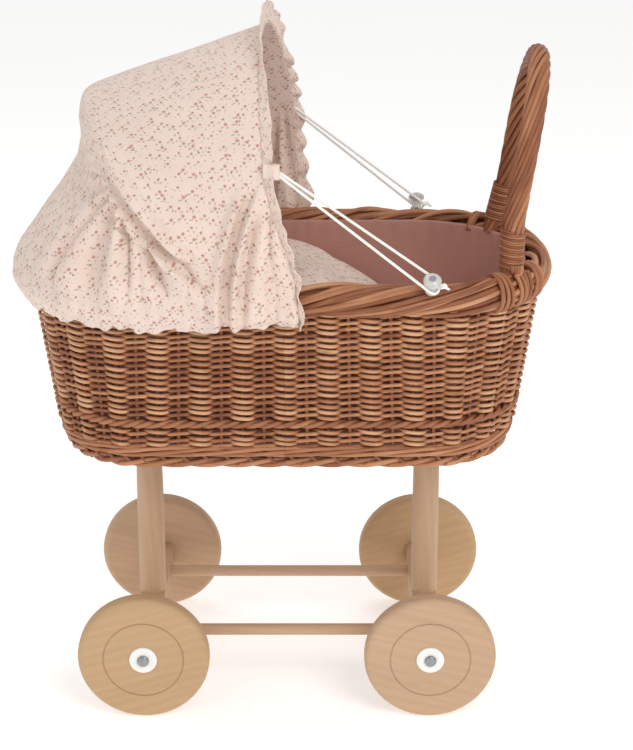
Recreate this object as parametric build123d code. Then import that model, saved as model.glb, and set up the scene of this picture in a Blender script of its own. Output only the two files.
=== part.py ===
from build123d import *
import math
import os

# Doll's pram: a woven willow basket on a turned beech undercarriage, with a folding cloth hood.
# Millimetres. X runs from the hood end (-X) to the handle end (+X), Z is up, and the wheels stand
# on Z = 0. The left side is -Y, as seen by the child who pushes the pram along -X.

# ---- wheels and undercarriage
wheel_diameter = 100.0
wheel_width = 15.0
wheel_edge_radius = 5.0
wheel_ring_radius = 31.0
wheel_ring_width = 1.2
wheel_ring_depth = 0.6
half_wheelbase = 108.7
half_track = 92.5
axle_height = wheel_diameter / 2
bush_radius = 7.0
bush_flange_radius = 10.5
bush_flange = 1.5
glue_gap = 0.05
running_gap = 0.08
side_gap = 0.3
axle_radius = 3.0
axle_thread_radius = 2.5
axle_thread_length = 28.0
axle_head_radius = 4.5
axle_head_height = 2.2
beam_section = 20.0
beam_half_length = 82.0
beam_edge_radius = 1.5
rail_radius = 4.5
rail_offset = 51.0
rail_socket = 6.0
post_foot_radius = 10.5
post_waist_radius = 9.9
post_top_radius = 11.2
post_waist_drop = 22.0
tenon_radius = 6.0
tenon_length = 12.0
post_screw_radius = 2.2
post_screw_head = 4.4
post_screw_grip = 34.0

# ---- basket: rounded oval plans as (half length, half width, corner radius)
base_z = 200.0
foot_plan = (169.0, 84.5, 68.0)
foot_width = 9.5
foot_top_z = 209.0
wall_foot_z = 213.0
wall_top_z = 326.0
wall_foot_plan = (171.0, 86.0, 69.0)
wall_top_plan = (188.0, 100.0, 91.0)
wall_thickness = 5.0
wale_z = (234.0, 241.0)
wale_proud = 0.8
rim_plan = (197.0, 108.5, 100.0)
rim_width = 19.0
rim_z = (324.0, 348.0)
rim_round = 9.0
base_thickness = 6.0
board_thickness = 5.0
board_inset = 3.0
stake_count = 62
stake_radius = 2.0

# ---- handle
handle_foot_x = 162.0
handle_foot_z = 345.0
handle_lean = 9.0
handle_half_width = 65.5
handle_leg = 81.3
handle_sunk = 6.0
handle_radius = 8.0
binding_thickness = 1.5
binding_span = (5.0, 33.0)

# ---- linings and bedding
lining_thickness = 1.5
lining_floor_z = 211.3
lining_top_z = 336.5
lining_foot_plan = (163.5, 78.5, 62.0)
lining_top_plan = (177.0, 88.5, 80.0)
bedding_gap = 1.5
mattress_z = (213.2, 238.0)
mattress_plan = (160.0, 75.0, 60.0)
mattress_round = 8.0
pillow_size = (86.0, 122.0, 34.0)
pillow_x = -107.0
pillow_round = 12.0
quilt_foot_z = 238.5
quilt_end_x = 154.0
quilt_head_x = -57.0

# ---- hood
pivot_x = -41.0
pivot_z = 341.0
bolt_radius = 2.0
bolt_head_radius = 4.0
eye_radius = 4.5
bow_width = 6.0
bow_thickness = 2.0
front_bow_angle = 83.0
front_bow_radius = 113.6
front_bow_reach = 162.8
rear_bow_angle = 130.8
rear_bow_radius = 111.0
rear_bow_reach = 160.1
cloth = 1.5
cloth_foot = 12.0
front_edge_foot = (9.0, 345.5)
front_edge_top = (-11.0, 513.0)
front_cloth_radius = 117.1
rear_cloth_radius = 115.8
rear_cloth_reach = 163.8
back_cloth_radius = 117.5
back_x = -203.0
frill_radius = 112.0
frill_lift = 6.5
frill_edge_foot = (22.0, 352.0)
frill_edge_top = (-11.0, 527.0)
skirt_front_x = 11.0
skirt_z = (317.5, 329.0, 340.5)
skirt_radii = (112.5, 118.0, 117.5)
hem_elastic_radius = 1.4
hem_elastic_z = 319.3

# ---- hood cords
knob_x = 103.0
knob_tilt = 35.0
knob_base = 11.8
knob_loop = 17.5
knob_screw_radius = 1.4
knob_screw_tip = 4.0
knob_screw_reach = 23.0
cord_radius = 1.0
cord_loop = 6.0
cord_loop_arc = 5.8
cord_pair = 1.2
cord_start = (-5.0, 115.8, 433.0)
knot_radius = 2.4

SIDES = {"left": -1, "right": 1}
ENDS = {"front": -1, "rear": 1}

rim_mid = (rim_z[0] + rim_z[1]) / 2
rim_centre_y = rim_plan[1] - rim_width / 2
wheel_inner = half_track - wheel_width / 2
wheel_outer = half_track + wheel_width / 2
board_top_z = base_z + base_thickness + board_thickness


def shrink(plan, by):
    """A plan moved inwards all round."""
    return tuple(size - by for size in plan)


def between(low, high, share):
    return tuple(a + (b - a) * share for a, b in zip(low, high))


def oval(plan, z):
    """A rounded rectangle on the level z."""
    length, width, corner = plan
    return Plane.XY.offset(z) * RectangleRounded(2 * length, 2 * width, corner)


def slab(plan, z_low, z_high):
    return extrude(oval(plan, z_low), z_high - z_low)


def taper(low_plan, high_plan, z_low, z_high):
    return loft([oval(low_plan, z_low), oval(high_plan, z_high)], ruled=True)


def wall_plan(z):
    """The outside of the basket wall at a height."""
    share = (z - wall_foot_z) / (wall_top_z - wall_foot_z)
    return between(wall_foot_plan, wall_top_plan, share)


def wall_band(z_low, z_high, proud=0.0):
    """A stretch of the woven wall."""
    low, high = wall_plan(z_low), wall_plan(z_high)
    outer = taper(shrink(low, -proud), shrink(high, -proud), z_low, z_high)
    inner = taper(shrink(low, wall_thickness), shrink(high, wall_thickness), z_low, z_high)
    return outer - inner


def across(radius, y_low, y_high, x, z):
    """A cylinder along Y."""
    middle = (y_low + y_high) / 2
    return Pos(x, middle, z) * Rot(90, 0, 0) * Cylinder(radius, abs(y_high - y_low))


# ---- undercarriage

def wheel(x, side):
    """A turned disc with rounded edges and a fine ring on its outer face."""
    disc = across(wheel_diameter / 2, side * wheel_inner, side * wheel_outer, x, axle_height)
    disc = fillet(disc.edges().filter_by(GeomType.CIRCLE), wheel_edge_radius)
    disc -= across(bush_radius, side * wheel_inner, side * wheel_outer, x, axle_height)
    ring_depth_y = side * (wheel_outer - wheel_ring_depth)
    groove = across(wheel_ring_radius, ring_depth_y, side * wheel_outer, x, axle_height)
    groove -= across(wheel_ring_radius - wheel_ring_width, ring_depth_y, side * wheel_outer, x, axle_height)
    return disc - groove


def wheel_bush(x, side):
    """The white hub bush: a barrel in the wheel and a flange outside it."""
    flange_y = wheel_outer + bush_flange
    bush = across(bush_radius - glue_gap, side * wheel_inner, side * flange_y, x, axle_height)
    bush += across(bush_flange_radius, side * wheel_outer, side * flange_y, x, axle_height)
    rim = bush.edges().filter_by(GeomType.CIRCLE).sort_by(Axis.Y)[-1 if side > 0 else 0]
    bush = fillet(rim, bush_flange * 0.5)
    return bush - across(axle_radius + running_gap, side * wheel_inner, side * flange_y, x, axle_height)


def axle_screw(x, side):
    """A shoulder screw: thread in the beam, smooth shank in the bush, domed head."""
    head_y = wheel_outer + bush_flange + side_gap
    thread_end = beam_half_length - axle_thread_length
    screw = across(axle_thread_radius, side * thread_end, side * beam_half_length, x, axle_height)
    screw += across(axle_radius, side * beam_half_length, side * head_y, x, axle_height)
    head = across(axle_head_radius, side * head_y, side * (head_y + axle_head_height), x, axle_height)
    dome = head.edges().filter_by(GeomType.CIRCLE).sort_by(Axis.Y)[-1 if side > 0 else 0]
    return screw + fillet(dome, axle_head_height * 0.8)


def wheel_washer(x, side):
    washer = across(bush_radius + 1, side * beam_half_length, side * (wheel_inner - side_gap), x, axle_height)
    return washer - across(axle_radius + glue_gap, side * beam_half_length, side * wheel_inner, x, axle_height)


def axle_beam(x):
    """The cross beam: a square bar with sockets for the post, the rails and the axle screws."""
    beam = Pos(x, 0, axle_height) * Box(beam_section, 2 * beam_half_length, beam_section)
    beam = fillet(beam.edges().filter_by(Axis.Y), beam_edge_radius)
    top = axle_height + beam_section / 2
    beam -= Pos(x, 0, top - tenon_length / 2) * Cylinder(tenon_radius + glue_gap, tenon_length)
    inner_face = abs(x) - beam_section / 2
    socket_x = math.copysign(inner_face + rail_socket / 2, x)
    for side in SIDES.values():
        hole = Rot(0, 90, 0) * Cylinder(rail_radius + glue_gap, rail_socket)
        beam -= Pos(socket_x, side * rail_offset, axle_height) * hole
        thread_end = beam_half_length - axle_thread_length
        beam -= across(axle_thread_radius + glue_gap, side * thread_end, side * beam_half_length,
                       x, axle_height)
    return beam


def side_rail(side):
    length = 2 * (half_wheelbase - beam_section / 2 + rail_socket - glue_gap)
    return Pos(0, side * rail_offset, axle_height) * Rot(0, 90, 0) * Cylinder(rail_radius, length)


def post(x):
    """A turned post: a tenon in the beam, a slight waist under the basket and a flared top."""
    foot_z = axle_height + beam_section / 2
    waist_z = base_z - post_waist_drop
    with BuildSketch(Plane.XZ) as half:
        with BuildLine():
            Polyline((0, foot_z), (post_foot_radius, foot_z), (post_foot_radius, foot_z + 40))
            Spline((post_foot_radius, foot_z + 40), (post_waist_radius, waist_z),
                   (post_top_radius, base_z), tangents=((0, 1), (0.25, 1)))
            Polyline((post_top_radius, base_z), (0, base_z), (0, foot_z))
        make_face()
    turned = revolve(half.sketch, Axis.Z)
    turned += Pos(0, 0, foot_z - (tenon_length - glue_gap) / 2) * Cylinder(tenon_radius, tenon_length - glue_gap)
    hole_depth = post_screw_grip + 1
    turned -= Pos(0, 0, base_z - hole_depth / 2) * Cylinder(post_screw_radius + glue_gap, hole_depth)
    return Pos(x, 0, 0) * turned


def post_screw(x, gap=0.0):
    """A countersunk screw down through the board and the woven base into the post."""
    tip_z = base_z - post_screw_grip
    shank = Pos(x, 0, (board_top_z + tip_z) / 2) * Cylinder(post_screw_radius + gap, board_top_z - tip_z)
    cone = post_screw_head - post_screw_radius
    head = Pos(x, 0, board_top_z - cone / 2) * Cone(post_screw_radius + gap, post_screw_head + gap, cone)
    return shank + head


# ---- basket

def pierced(solid):
    """Holes for the two post screws."""
    for end in ENDS.values():
        solid -= post_screw(end * half_wheelbase, glue_gap)
    return solid


def basket_base():
    return pierced(slab(shrink(foot_plan, foot_width), base_z, base_z + base_thickness))


def base_board():
    plan = shrink(foot_plan, foot_width + board_inset)
    return pierced(slab(plan, base_z + base_thickness, board_top_z))


def foot_border():
    ring = slab(foot_plan, base_z, foot_top_z) - slab(shrink(foot_plan, foot_width), base_z, foot_top_z)
    outside = ring.faces().sort_by(Axis.Z)[0].outer_wire().edges()
    return fillet(outside, 3)


def rim_border():
    """The thick rolled border, with holes for the hood bolts and the knob screws."""
    ring = slab(rim_plan, *rim_z) - slab(shrink(rim_plan, rim_width), *rim_z)
    level = ring.faces().sort_by(Axis.Z)
    ring = fillet(level[0].edges() + level[-1].edges(), rim_round)
    for side in SIDES.values():
        ring -= across(bolt_radius + glue_gap, side * (rim_centre_y - rim_width), side * (rim_centre_y + rim_width),
                       pivot_x, pivot_z)
        ring -= knob_screw(side, glue_gap)
    return ring


def side_stakes():
    """The upright willow stakes, one rod each, from the foot border into the rim."""
    low = shrink(wall_plan(base_z + base_thickness), wall_thickness / 2)
    high = shrink(wall_plan(rim_mid), wall_thickness / 2)
    low_wire = oval(low, base_z + base_thickness).face().outer_wire()
    high_wire = oval(high, rim_mid).face().outer_wire()
    stakes = []
    for number in range(stake_count):
        share = (number + 0.5) / stake_count
        foot, top = low_wire @ share, high_wire @ share
        rod = Cylinder(stake_radius, (top - foot).length, align=(Align.CENTER, Align.CENTER, Align.MIN))
        stakes.append(Plane(origin=foot, z_dir=top - foot) * rod)
    return Compound(stakes)


# ---- handle

handle_plane = Plane(origin=(handle_foot_x, 0, handle_foot_z), x_dir=(0, 1, 0),
                     z_dir=(math.cos(math.radians(handle_lean)), 0, -math.sin(math.radians(handle_lean))))


def handle_hoop():
    """A bundle of rods bent to an arch that leans away from the basket."""
    w = handle_half_width
    with BuildLine(handle_plane) as line:
        Line((-w, -handle_sunk), (-w, handle_leg))
        ThreePointArc((-w, handle_leg), (0, handle_leg + w), (w, handle_leg))
        Line((w, handle_leg), (w, -handle_sunk))
    path = line.wires()[0]
    return sweep(Plane(origin=path @ 0, z_dir=path % 0) * Circle(handle_radius), path=path)


def handle_binding(side):
    """The wrapping round a leg of the handle, just above the rim."""
    low, high = binding_span
    foot = handle_plane.from_local_coords(Vector(side * handle_half_width, low, 0))
    ring = Circle(handle_radius + binding_thickness) - Circle(handle_radius + glue_gap)
    return extrude(Plane(origin=foot, z_dir=handle_plane.y_dir) * ring, high - low)


# ---- lining and bedding

def lining_plan(z):
    share = (z - lining_floor_z) / (lining_top_z - lining_floor_z)
    return between(lining_foot_plan, lining_top_plan, share)


def basket_lining():
    """The sewn cloth liner: a thin open tray against the inside of the wall."""
    floor = lining_floor_z + lining_thickness
    outer = taper(lining_foot_plan, lining_top_plan, lining_floor_z, lining_top_z)
    inner = taper(shrink(lining_plan(floor), lining_thickness), shrink(lining_top_plan, lining_thickness),
                  floor, lining_top_z)
    return outer - inner


def mattress():
    pad = slab(mattress_plan, *mattress_z)
    level = pad.faces().sort_by(Axis.Z)
    return fillet(level[0].edges() + level[-1].edges(), mattress_round)


def pillow():
    length, width, height = pillow_size
    pad = Pos(pillow_x, 0, quilt_foot_z + height / 2) * Box(length, width, height)
    return fillet(pad.edges(), pillow_round)


def quilt():
    """A puffed quilt: flat over the doll's feet and heaped up towards the hood."""
    with BuildSketch(Plane.XZ) as profile:
        with BuildLine():
            Polyline((quilt_end_x, quilt_foot_z), (quilt_head_x, quilt_foot_z), (quilt_head_x, 300))
            Spline((quilt_head_x, 300), (-30, 329), (28, 331), (62, 307), (108, 262), (140, 257),
                   (quilt_end_x, 250))
            Line((quilt_end_x, 250), (quilt_end_x, quilt_foot_z))
        make_face()
    heap = extrude(profile.sketch, lining_top_plan[1], both=True)
    gap = lining_thickness + bedding_gap
    room = taper(shrink(lining_plan(quilt_foot_z - 1), gap), shrink(lining_top_plan, gap),
                 quilt_foot_z - 1, lining_top_z)
    return heap & room


# ---- hood frame

def slope_plane(foot, top):
    """A plane across the pram that rises from one point of its side view to another."""
    rise = Vector(top[0] - foot[0], 0, top[1] - foot[1])
    return Plane(origin=(foot[0], 0, foot[1]), x_dir=(0, 1, 0), z_dir=Vector(0, 1, 0).cross(rise))


def pivot_plane(angle):
    """The plane of a hood bow: it holds the pivot axis and rises at the angle from +X."""
    reach = math.cos(math.radians(angle)), math.sin(math.radians(angle))
    return slope_plane((pivot_x, pivot_z), (pivot_x + reach[0], pivot_z + reach[1]))


def arch_face(plane, radius, reach, foot):
    """An upright arch: two straight legs and a half round, from foot up to reach."""
    leg = reach - radius
    with BuildSketch(plane) as arch:
        with BuildLine():
            Line((-radius, foot), (-radius, leg))
            ThreePointArc((-radius, leg), (0, reach), (radius, leg))
            Polyline((radius, leg), (radius, foot), (-radius, foot))
        make_face()
    return arch.sketch


def hood_bow(angle, radius, reach):
    """A flat bentwood bow with a round eye at each end."""
    plane = pivot_plane(angle)
    band = arch_face(plane, radius, reach, 0) - arch_face(plane, radius - bow_thickness, reach - bow_thickness, 0)
    bow = extrude(band, bow_width / 2, both=True)
    for side in SIDES.values():
        eye = side * (radius - bow_thickness), side * radius
        bow += across(eye_radius, *eye, pivot_x, pivot_z)
        bow -= across(bolt_radius + running_gap, *eye, pivot_x, pivot_z)
    return bow


def pivot_bolt(side):
    """A bolt through the rim and both bows, with a domed head outside."""
    head_low = front_bow_radius + side_gap
    bolt = across(bolt_radius, side * (rim_centre_y - rim_width / 2 - 4), side * head_low, pivot_x, pivot_z)
    head = across(bolt_head_radius, side * head_low, side * (head_low + 1.7), pivot_x, pivot_z)
    dome = head.edges().filter_by(GeomType.CIRCLE).sort_by(Axis.Y)[-1 if side > 0 else 0]
    return bolt + fillet(dome, 1.2)


def pivot_nut(side):
    inner_y = rim_centre_y - rim_width / 2 - 4.5
    nut = extrude(Plane.XZ * RegularPolygon(3.6, 6), 3.4)
    nut = Pos(pivot_x, 0, pivot_z) * nut
    low = nut.bounding_box().min.Y
    nut = Pos(0, (inner_y if side > 0 else -inner_y - 3.4) - low, 0) * nut
    return nut - across(bolt_radius + glue_gap, -150, 150, pivot_x, pivot_z)


def pivot_washer(side):
    low = rear_bow_radius + 0.1
    washer = across(eye_radius - 0.5, side * low, side * (low + 0.4), pivot_x, pivot_z)
    return washer - across(bolt_radius + glue_gap, side * low, side * (low + 0.4), pivot_x, pivot_z)


# ---- hood cloth

front_edge_plane = slope_plane(front_edge_foot, front_edge_top)
front_edge_reach = math.dist(front_edge_foot, front_edge_top)
frill_edge_plane = slope_plane(frill_edge_foot, frill_edge_top)
frill_edge_reach = math.dist(frill_edge_foot, frill_edge_top)


def cloth_band(first, second):
    """A thin skin between two arches, each given as (plane, radius, reach, foot)."""
    skins = []
    for inset in (0.0, cloth):
        arches = [arch_face(plane, radius - inset, reach - inset, foot)
                  for plane, radius, reach, foot in (first, second)]
        skins.append(loft(arches, ruled=True))
    return skins[0] - skins[1]


rear_arch = (pivot_plane(rear_bow_angle), rear_cloth_radius, rear_cloth_reach, cloth_foot)


def hood_cover_front():
    front_arch = (front_edge_plane, front_cloth_radius, front_edge_reach, 0.0)
    return cloth_band(front_arch, rear_arch)


def hood_cover_rear():
    back_arch = (pivot_plane(180), back_cloth_radius, pivot_x - back_x, cloth_foot)
    return cloth_band(rear_arch, back_arch)


def hood_frill():
    """The frill on the hood's front edge, which stands up at the top and flares at the sides."""
    root = (front_edge_plane, front_cloth_radius + cloth + side_gap,
            front_edge_reach + cloth + side_gap, frill_lift)
    edge = (frill_edge_plane, frill_radius, frill_edge_reach, 0.0)
    return cloth_band(root, edge)


def skirt_outline(radius, z, front_x):
    """A hairpin plan round the hood end of the rim."""
    centre_x = back_x + back_cloth_radius
    with BuildSketch(Plane.XY.offset(z)) as outline:
        with BuildLine():
            Line((front_x, radius), (centre_x, radius))
            ThreePointArc((centre_x, radius), (centre_x - radius, 0), (centre_x, -radius))
            Polyline((centre_x, -radius), (front_x, -radius), (front_x, radius))
        make_face()
    return outline.sketch


def hood_skirt():
    """The gathered skirt over the rim, drawn in below it by its elastic hem."""
    skins = []
    for inset, front_x in ((0.0, skirt_front_x), (cloth, skirt_front_x)):
        plans = [skirt_outline(radius - inset, z, front_x) for radius, z in zip(skirt_radii, skirt_z)]
        skins.append(loft(plans, ruled=True))
    return skins[0] - skins[1]


def hem_elastic():
    radius = skirt_radii[0] - cloth - 2 * hem_elastic_radius + 0.5
    centre_x = back_x + back_cloth_radius
    with BuildLine(Plane.XY.offset(hem_elastic_z)) as line:
        Line((skirt_front_x, radius), (centre_x, radius))
        ThreePointArc((centre_x, radius), (centre_x - radius, 0), (centre_x, -radius))
        Line((centre_x, -radius), (skirt_front_x, -radius))
    path = line.wires()[0]
    return sweep(Plane(origin=path @ 0, z_dir=path % 0) * Circle(hem_elastic_radius), path=path)


# ---- hood cords and their knobs

def knob_place(side):
    """The middle of the rim's section under a knob, with Z along the knob's axis."""
    return Pos(knob_x, side * rim_centre_y, rim_mid) * Rot(-side * knob_tilt, 0, 0)


def cord_knob(side):
    """A turned knob: a foot on the rim, a neck for the cord and a wide cap."""
    with BuildSketch(Plane.XZ) as half:
        with BuildLine():
            Polyline((0, knob_base), (5, knob_base), (5, knob_base + 1.2), (3.8, knob_base + 2.4),
                     (3.8, 18.6), (6.4, 21), (6.4, 23))
            ThreePointArc((6.4, 23), (4.8, 24.5), (0, 25))
            Line((0, 25), (0, knob_base))
        make_face()
    knob = revolve(half.sketch, Axis.Z)
    return knob_place(side) * knob - knob_screw(side, glue_gap)


def knob_screw(side, gap=0.0):
    grip = knob_screw_reach - knob_screw_tip
    shank = Pos(0, 0, knob_screw_reach - grip / 2) * Cylinder(knob_screw_radius + gap, grip)
    head = Pos(0, 0, knob_screw_reach + 1.2) * Cylinder(2.6 + gap, 2.4)
    return knob_place(side) * (shank + head)


def cord_frame(side):
    """Where the cord's loop lies: the knob's neck, the pull along the cord and the way across it."""
    centre = (knob_place(side) * Pos(0, 0, knob_loop)).position
    start = Vector(cord_start[0], side * cord_start[1], cord_start[2])
    axis = Plane(knob_place(side)).z_dir
    pull = (centre - start).normalized()
    return centre, start, pull, pull.cross(axis).normalized() * side


def hood_cord(side):
    """A doubled elastic cord: from the hood's tab, round the knob's neck and back."""
    centre, start, pull, over = cord_frame(side)
    corner = centre + pull * cord_loop
    apart = Vector(0, 0, cord_pair)
    route = [start + apart, corner + over * cord_loop, corner - over * cord_loop, start - apart]
    path = FilletPolyline(*route, radius=[cord_loop_arc, cord_loop_arc])
    cord = sweep(Plane(origin=path @ 0, z_dir=path % 0) * Circle(cord_radius), path=path)
    print("hood cord", side, "length", round(path.length, 1), "arcs", cord_loop_arc,
          "volume share", round(cord.volume / (path.length * math.pi * cord_radius**2), 4))
    return cord


def cord_knot(side):
    """The knot that closes the loop, beyond the knob."""
    centre, _, pull, _ = cord_frame(side)
    aside = Vector(1, side * 0.2, 1).normalized() * (1.3 * knot_radius + cord_radius)
    place = centre + pull * cord_loop + aside
    knot = scale(Sphere(knot_radius), by=(1.25, 1, 0.9))
    return Pos(place.X, place.Y, place.Z) * knot


def cord_tab(side):
    """A small cloth tab on the hood's side seam that holds the cord's two ends."""
    x, y, z = cord_start
    tab = fillet(Box(8, 2, 10).edges().filter_by(Axis.Y), 2)
    return Pos(x - 4.5, side * (y - 2.2), z + 3.5) * Rot(side * 17, 0, 0) * tab


# ---- everything, one file for each piece

os.makedirs("parts", exist_ok=True)
nodes = {
    "basket_base": basket_base(),
    "base_board": base_board(),
    "foot_border": foot_border(),
    "side_weave_lower": wall_band(wall_foot_z, wale_z[0]),
    "middle_wale": wall_band(*wale_z, proud=wale_proud),
    "side_weave_upper": wall_band(wale_z[1], wall_top_z - 2),
    "rim_border": rim_border(),
    "side_stakes": side_stakes(),
    "handle_hoop": handle_hoop(),
    "basket_lining": basket_lining(),
    "mattress": mattress(),
    "pillow": pillow(),
    "quilt": quilt(),
    "post_screws": Compound([post_screw(end * half_wheelbase) for end in ENDS.values()]),
    "axle_screws": Compound([axle_screw(end * half_wheelbase, side)
                             for end in ENDS.values() for side in SIDES.values()]),
    "wheel_washers": Compound([wheel_washer(end * half_wheelbase, side)
                               for end in ENDS.values() for side in SIDES.values()]),
    "hood_bow_front": hood_bow(front_bow_angle, front_bow_radius, front_bow_reach),
    "hood_bow_rear": hood_bow(rear_bow_angle, rear_bow_radius, rear_bow_reach),
    "hood_pivot_bolts": Compound([pivot_bolt(side) for side in SIDES.values()]),
    "hood_pivot_nuts": Compound([pivot_nut(side) for side in SIDES.values()]),
    "hood_pivot_washers": Compound([pivot_washer(side) for side in SIDES.values()]),
    "hood_cover_front": hood_cover_front(),
    "hood_cover_rear": hood_cover_rear(),
    "hood_frill": hood_frill(),
    "hood_skirt": hood_skirt(),
    "hem_elastic": hem_elastic(),
    "cord_tabs": Compound([cord_tab(side) for side in SIDES.values()]),
    "cord_knob_screws": Compound([knob_screw(side) for side in SIDES.values()]),
}
for end_name, end in ENDS.items():
    nodes[f"axle_beam_{end_name}"] = axle_beam(end * half_wheelbase)
    nodes[f"post_{end_name}"] = post(end * half_wheelbase)
    for side_name, side in SIDES.items():
        nodes[f"wheel_{end_name}_{side_name}"] = wheel(end * half_wheelbase, side)
        nodes[f"wheel_bush_{end_name}_{side_name}"] = wheel_bush(end * half_wheelbase, side)
for side_name, side in SIDES.items():
    nodes[f"side_rail_{side_name}"] = side_rail(side)
    nodes[f"handle_binding_{side_name}"] = handle_binding(side)
    nodes[f"cord_knob_{side_name}"] = cord_knob(side)
    nodes[f"cord_knot_{side_name}"] = cord_knot(side)
    nodes[f"hood_cord_{side_name}"] = hood_cord(side)
for name, solid in nodes.items():
    export_step(solid, f"parts/{name}.step")
print(len(nodes), "nodes")
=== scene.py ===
# %% [markdown]
# # A doll's pram
# This lesson builds the looks of a woven doll's pram round a finished CAD model. The model has
# come out of its packing as a fixed frame: bodies that move and nodes that are its parts.
# Everything here is made in metres in that same frame. X runs from the hood end to the handle
# end, Y to the pram's right side, and Z up from the floor.

# %% Load the frame
import math
import bpy
import numpy as np
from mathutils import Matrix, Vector


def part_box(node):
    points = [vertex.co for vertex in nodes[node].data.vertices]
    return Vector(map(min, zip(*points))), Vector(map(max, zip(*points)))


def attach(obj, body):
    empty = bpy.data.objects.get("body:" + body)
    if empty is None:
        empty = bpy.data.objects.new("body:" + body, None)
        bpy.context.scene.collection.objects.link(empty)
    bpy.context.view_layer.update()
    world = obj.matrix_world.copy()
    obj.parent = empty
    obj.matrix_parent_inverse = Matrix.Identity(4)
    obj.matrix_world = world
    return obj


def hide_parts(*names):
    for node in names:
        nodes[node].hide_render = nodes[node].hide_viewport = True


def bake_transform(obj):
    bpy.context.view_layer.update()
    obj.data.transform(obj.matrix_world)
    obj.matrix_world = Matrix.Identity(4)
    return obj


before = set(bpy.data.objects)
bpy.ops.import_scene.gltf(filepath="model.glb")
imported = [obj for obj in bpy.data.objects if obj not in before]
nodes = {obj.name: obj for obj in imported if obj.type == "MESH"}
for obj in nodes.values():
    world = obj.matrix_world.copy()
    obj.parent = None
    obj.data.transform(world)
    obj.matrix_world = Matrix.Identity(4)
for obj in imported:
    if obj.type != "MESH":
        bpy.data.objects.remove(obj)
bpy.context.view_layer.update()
mm = 0.001

# %% [markdown]
# ## The camera, the light and the floor
# A toy in a studio is looked at from a little above its side, with a long lens so that
# nothing looks stretched. Large soft lights stand in front of it, and the pale room fills the
# shadows. The floor is one plain plate, which isn't part of the pram.

# %% Camera
camera_height = 748 * mm
camera_place = (22.5 * mm, -1351 * mm, camera_height)
camera_tilt = math.radians(69.5)
camera_lens = 89.8

camera = bpy.data.objects.new("camera", bpy.data.cameras.new("camera"))
bpy.context.scene.collection.objects.link(camera)
camera.location = camera_place
camera.rotation_euler = (camera_tilt, 0, 0)
camera.data.lens = camera_lens
bpy.context.scene.camera = camera
bpy.context.scene.view_settings.view_transform = "Standard"
print("camera", camera_place)

# %% Lights
middle = Vector((0, 0, 300 * mm))


def soft_light(name, place, size, power, tint=(1, 1, 1)):
    """A square studio lamp that looks at the middle of the pram."""
    lamp = bpy.data.objects.new(name, bpy.data.lights.new(name, "AREA"))
    lamp.data.size, lamp.data.energy, lamp.data.color = size, power, tint
    lamp.location = place
    lamp.rotation_euler = (middle - Vector(place)).to_track_quat("-Z", "Y").to_euler()
    bpy.context.scene.collection.objects.link(lamp)
    return lamp


soft_light("key_light", (0.75, -1.25, 1.35), 0.9, 12, (1, 0.985, 0.96))
soft_light("fill_light", (-1.3, -1.0, 0.8), 1.2, 3.2, (1, 0.99, 0.98))
soft_light("top_light", (-0.2, 0.5, 1.7), 1.2, 5)

world = bpy.data.worlds.new("room")
bpy.context.scene.world = world
world.use_nodes = True
world.node_tree.nodes["Background"].inputs["Color"].default_value = (1, 1, 1, 1)
world.node_tree.nodes["Background"].inputs["Strength"].default_value = 0.55
print("room and three lamps")

# %% [markdown]
# ## Sums on sockets
# A material is a small machine of nodes. Written as wires and boxes it is long, so here a wire
# can be added, multiplied and subtracted like a number, and each sum puts a Math node in the
# tree. Every other node comes from one method, which sets the node up before it fills in or
# joins its sockets. Colours are only ever mixed, because a Math node would turn them grey.

# %% A wire that does sums


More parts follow.
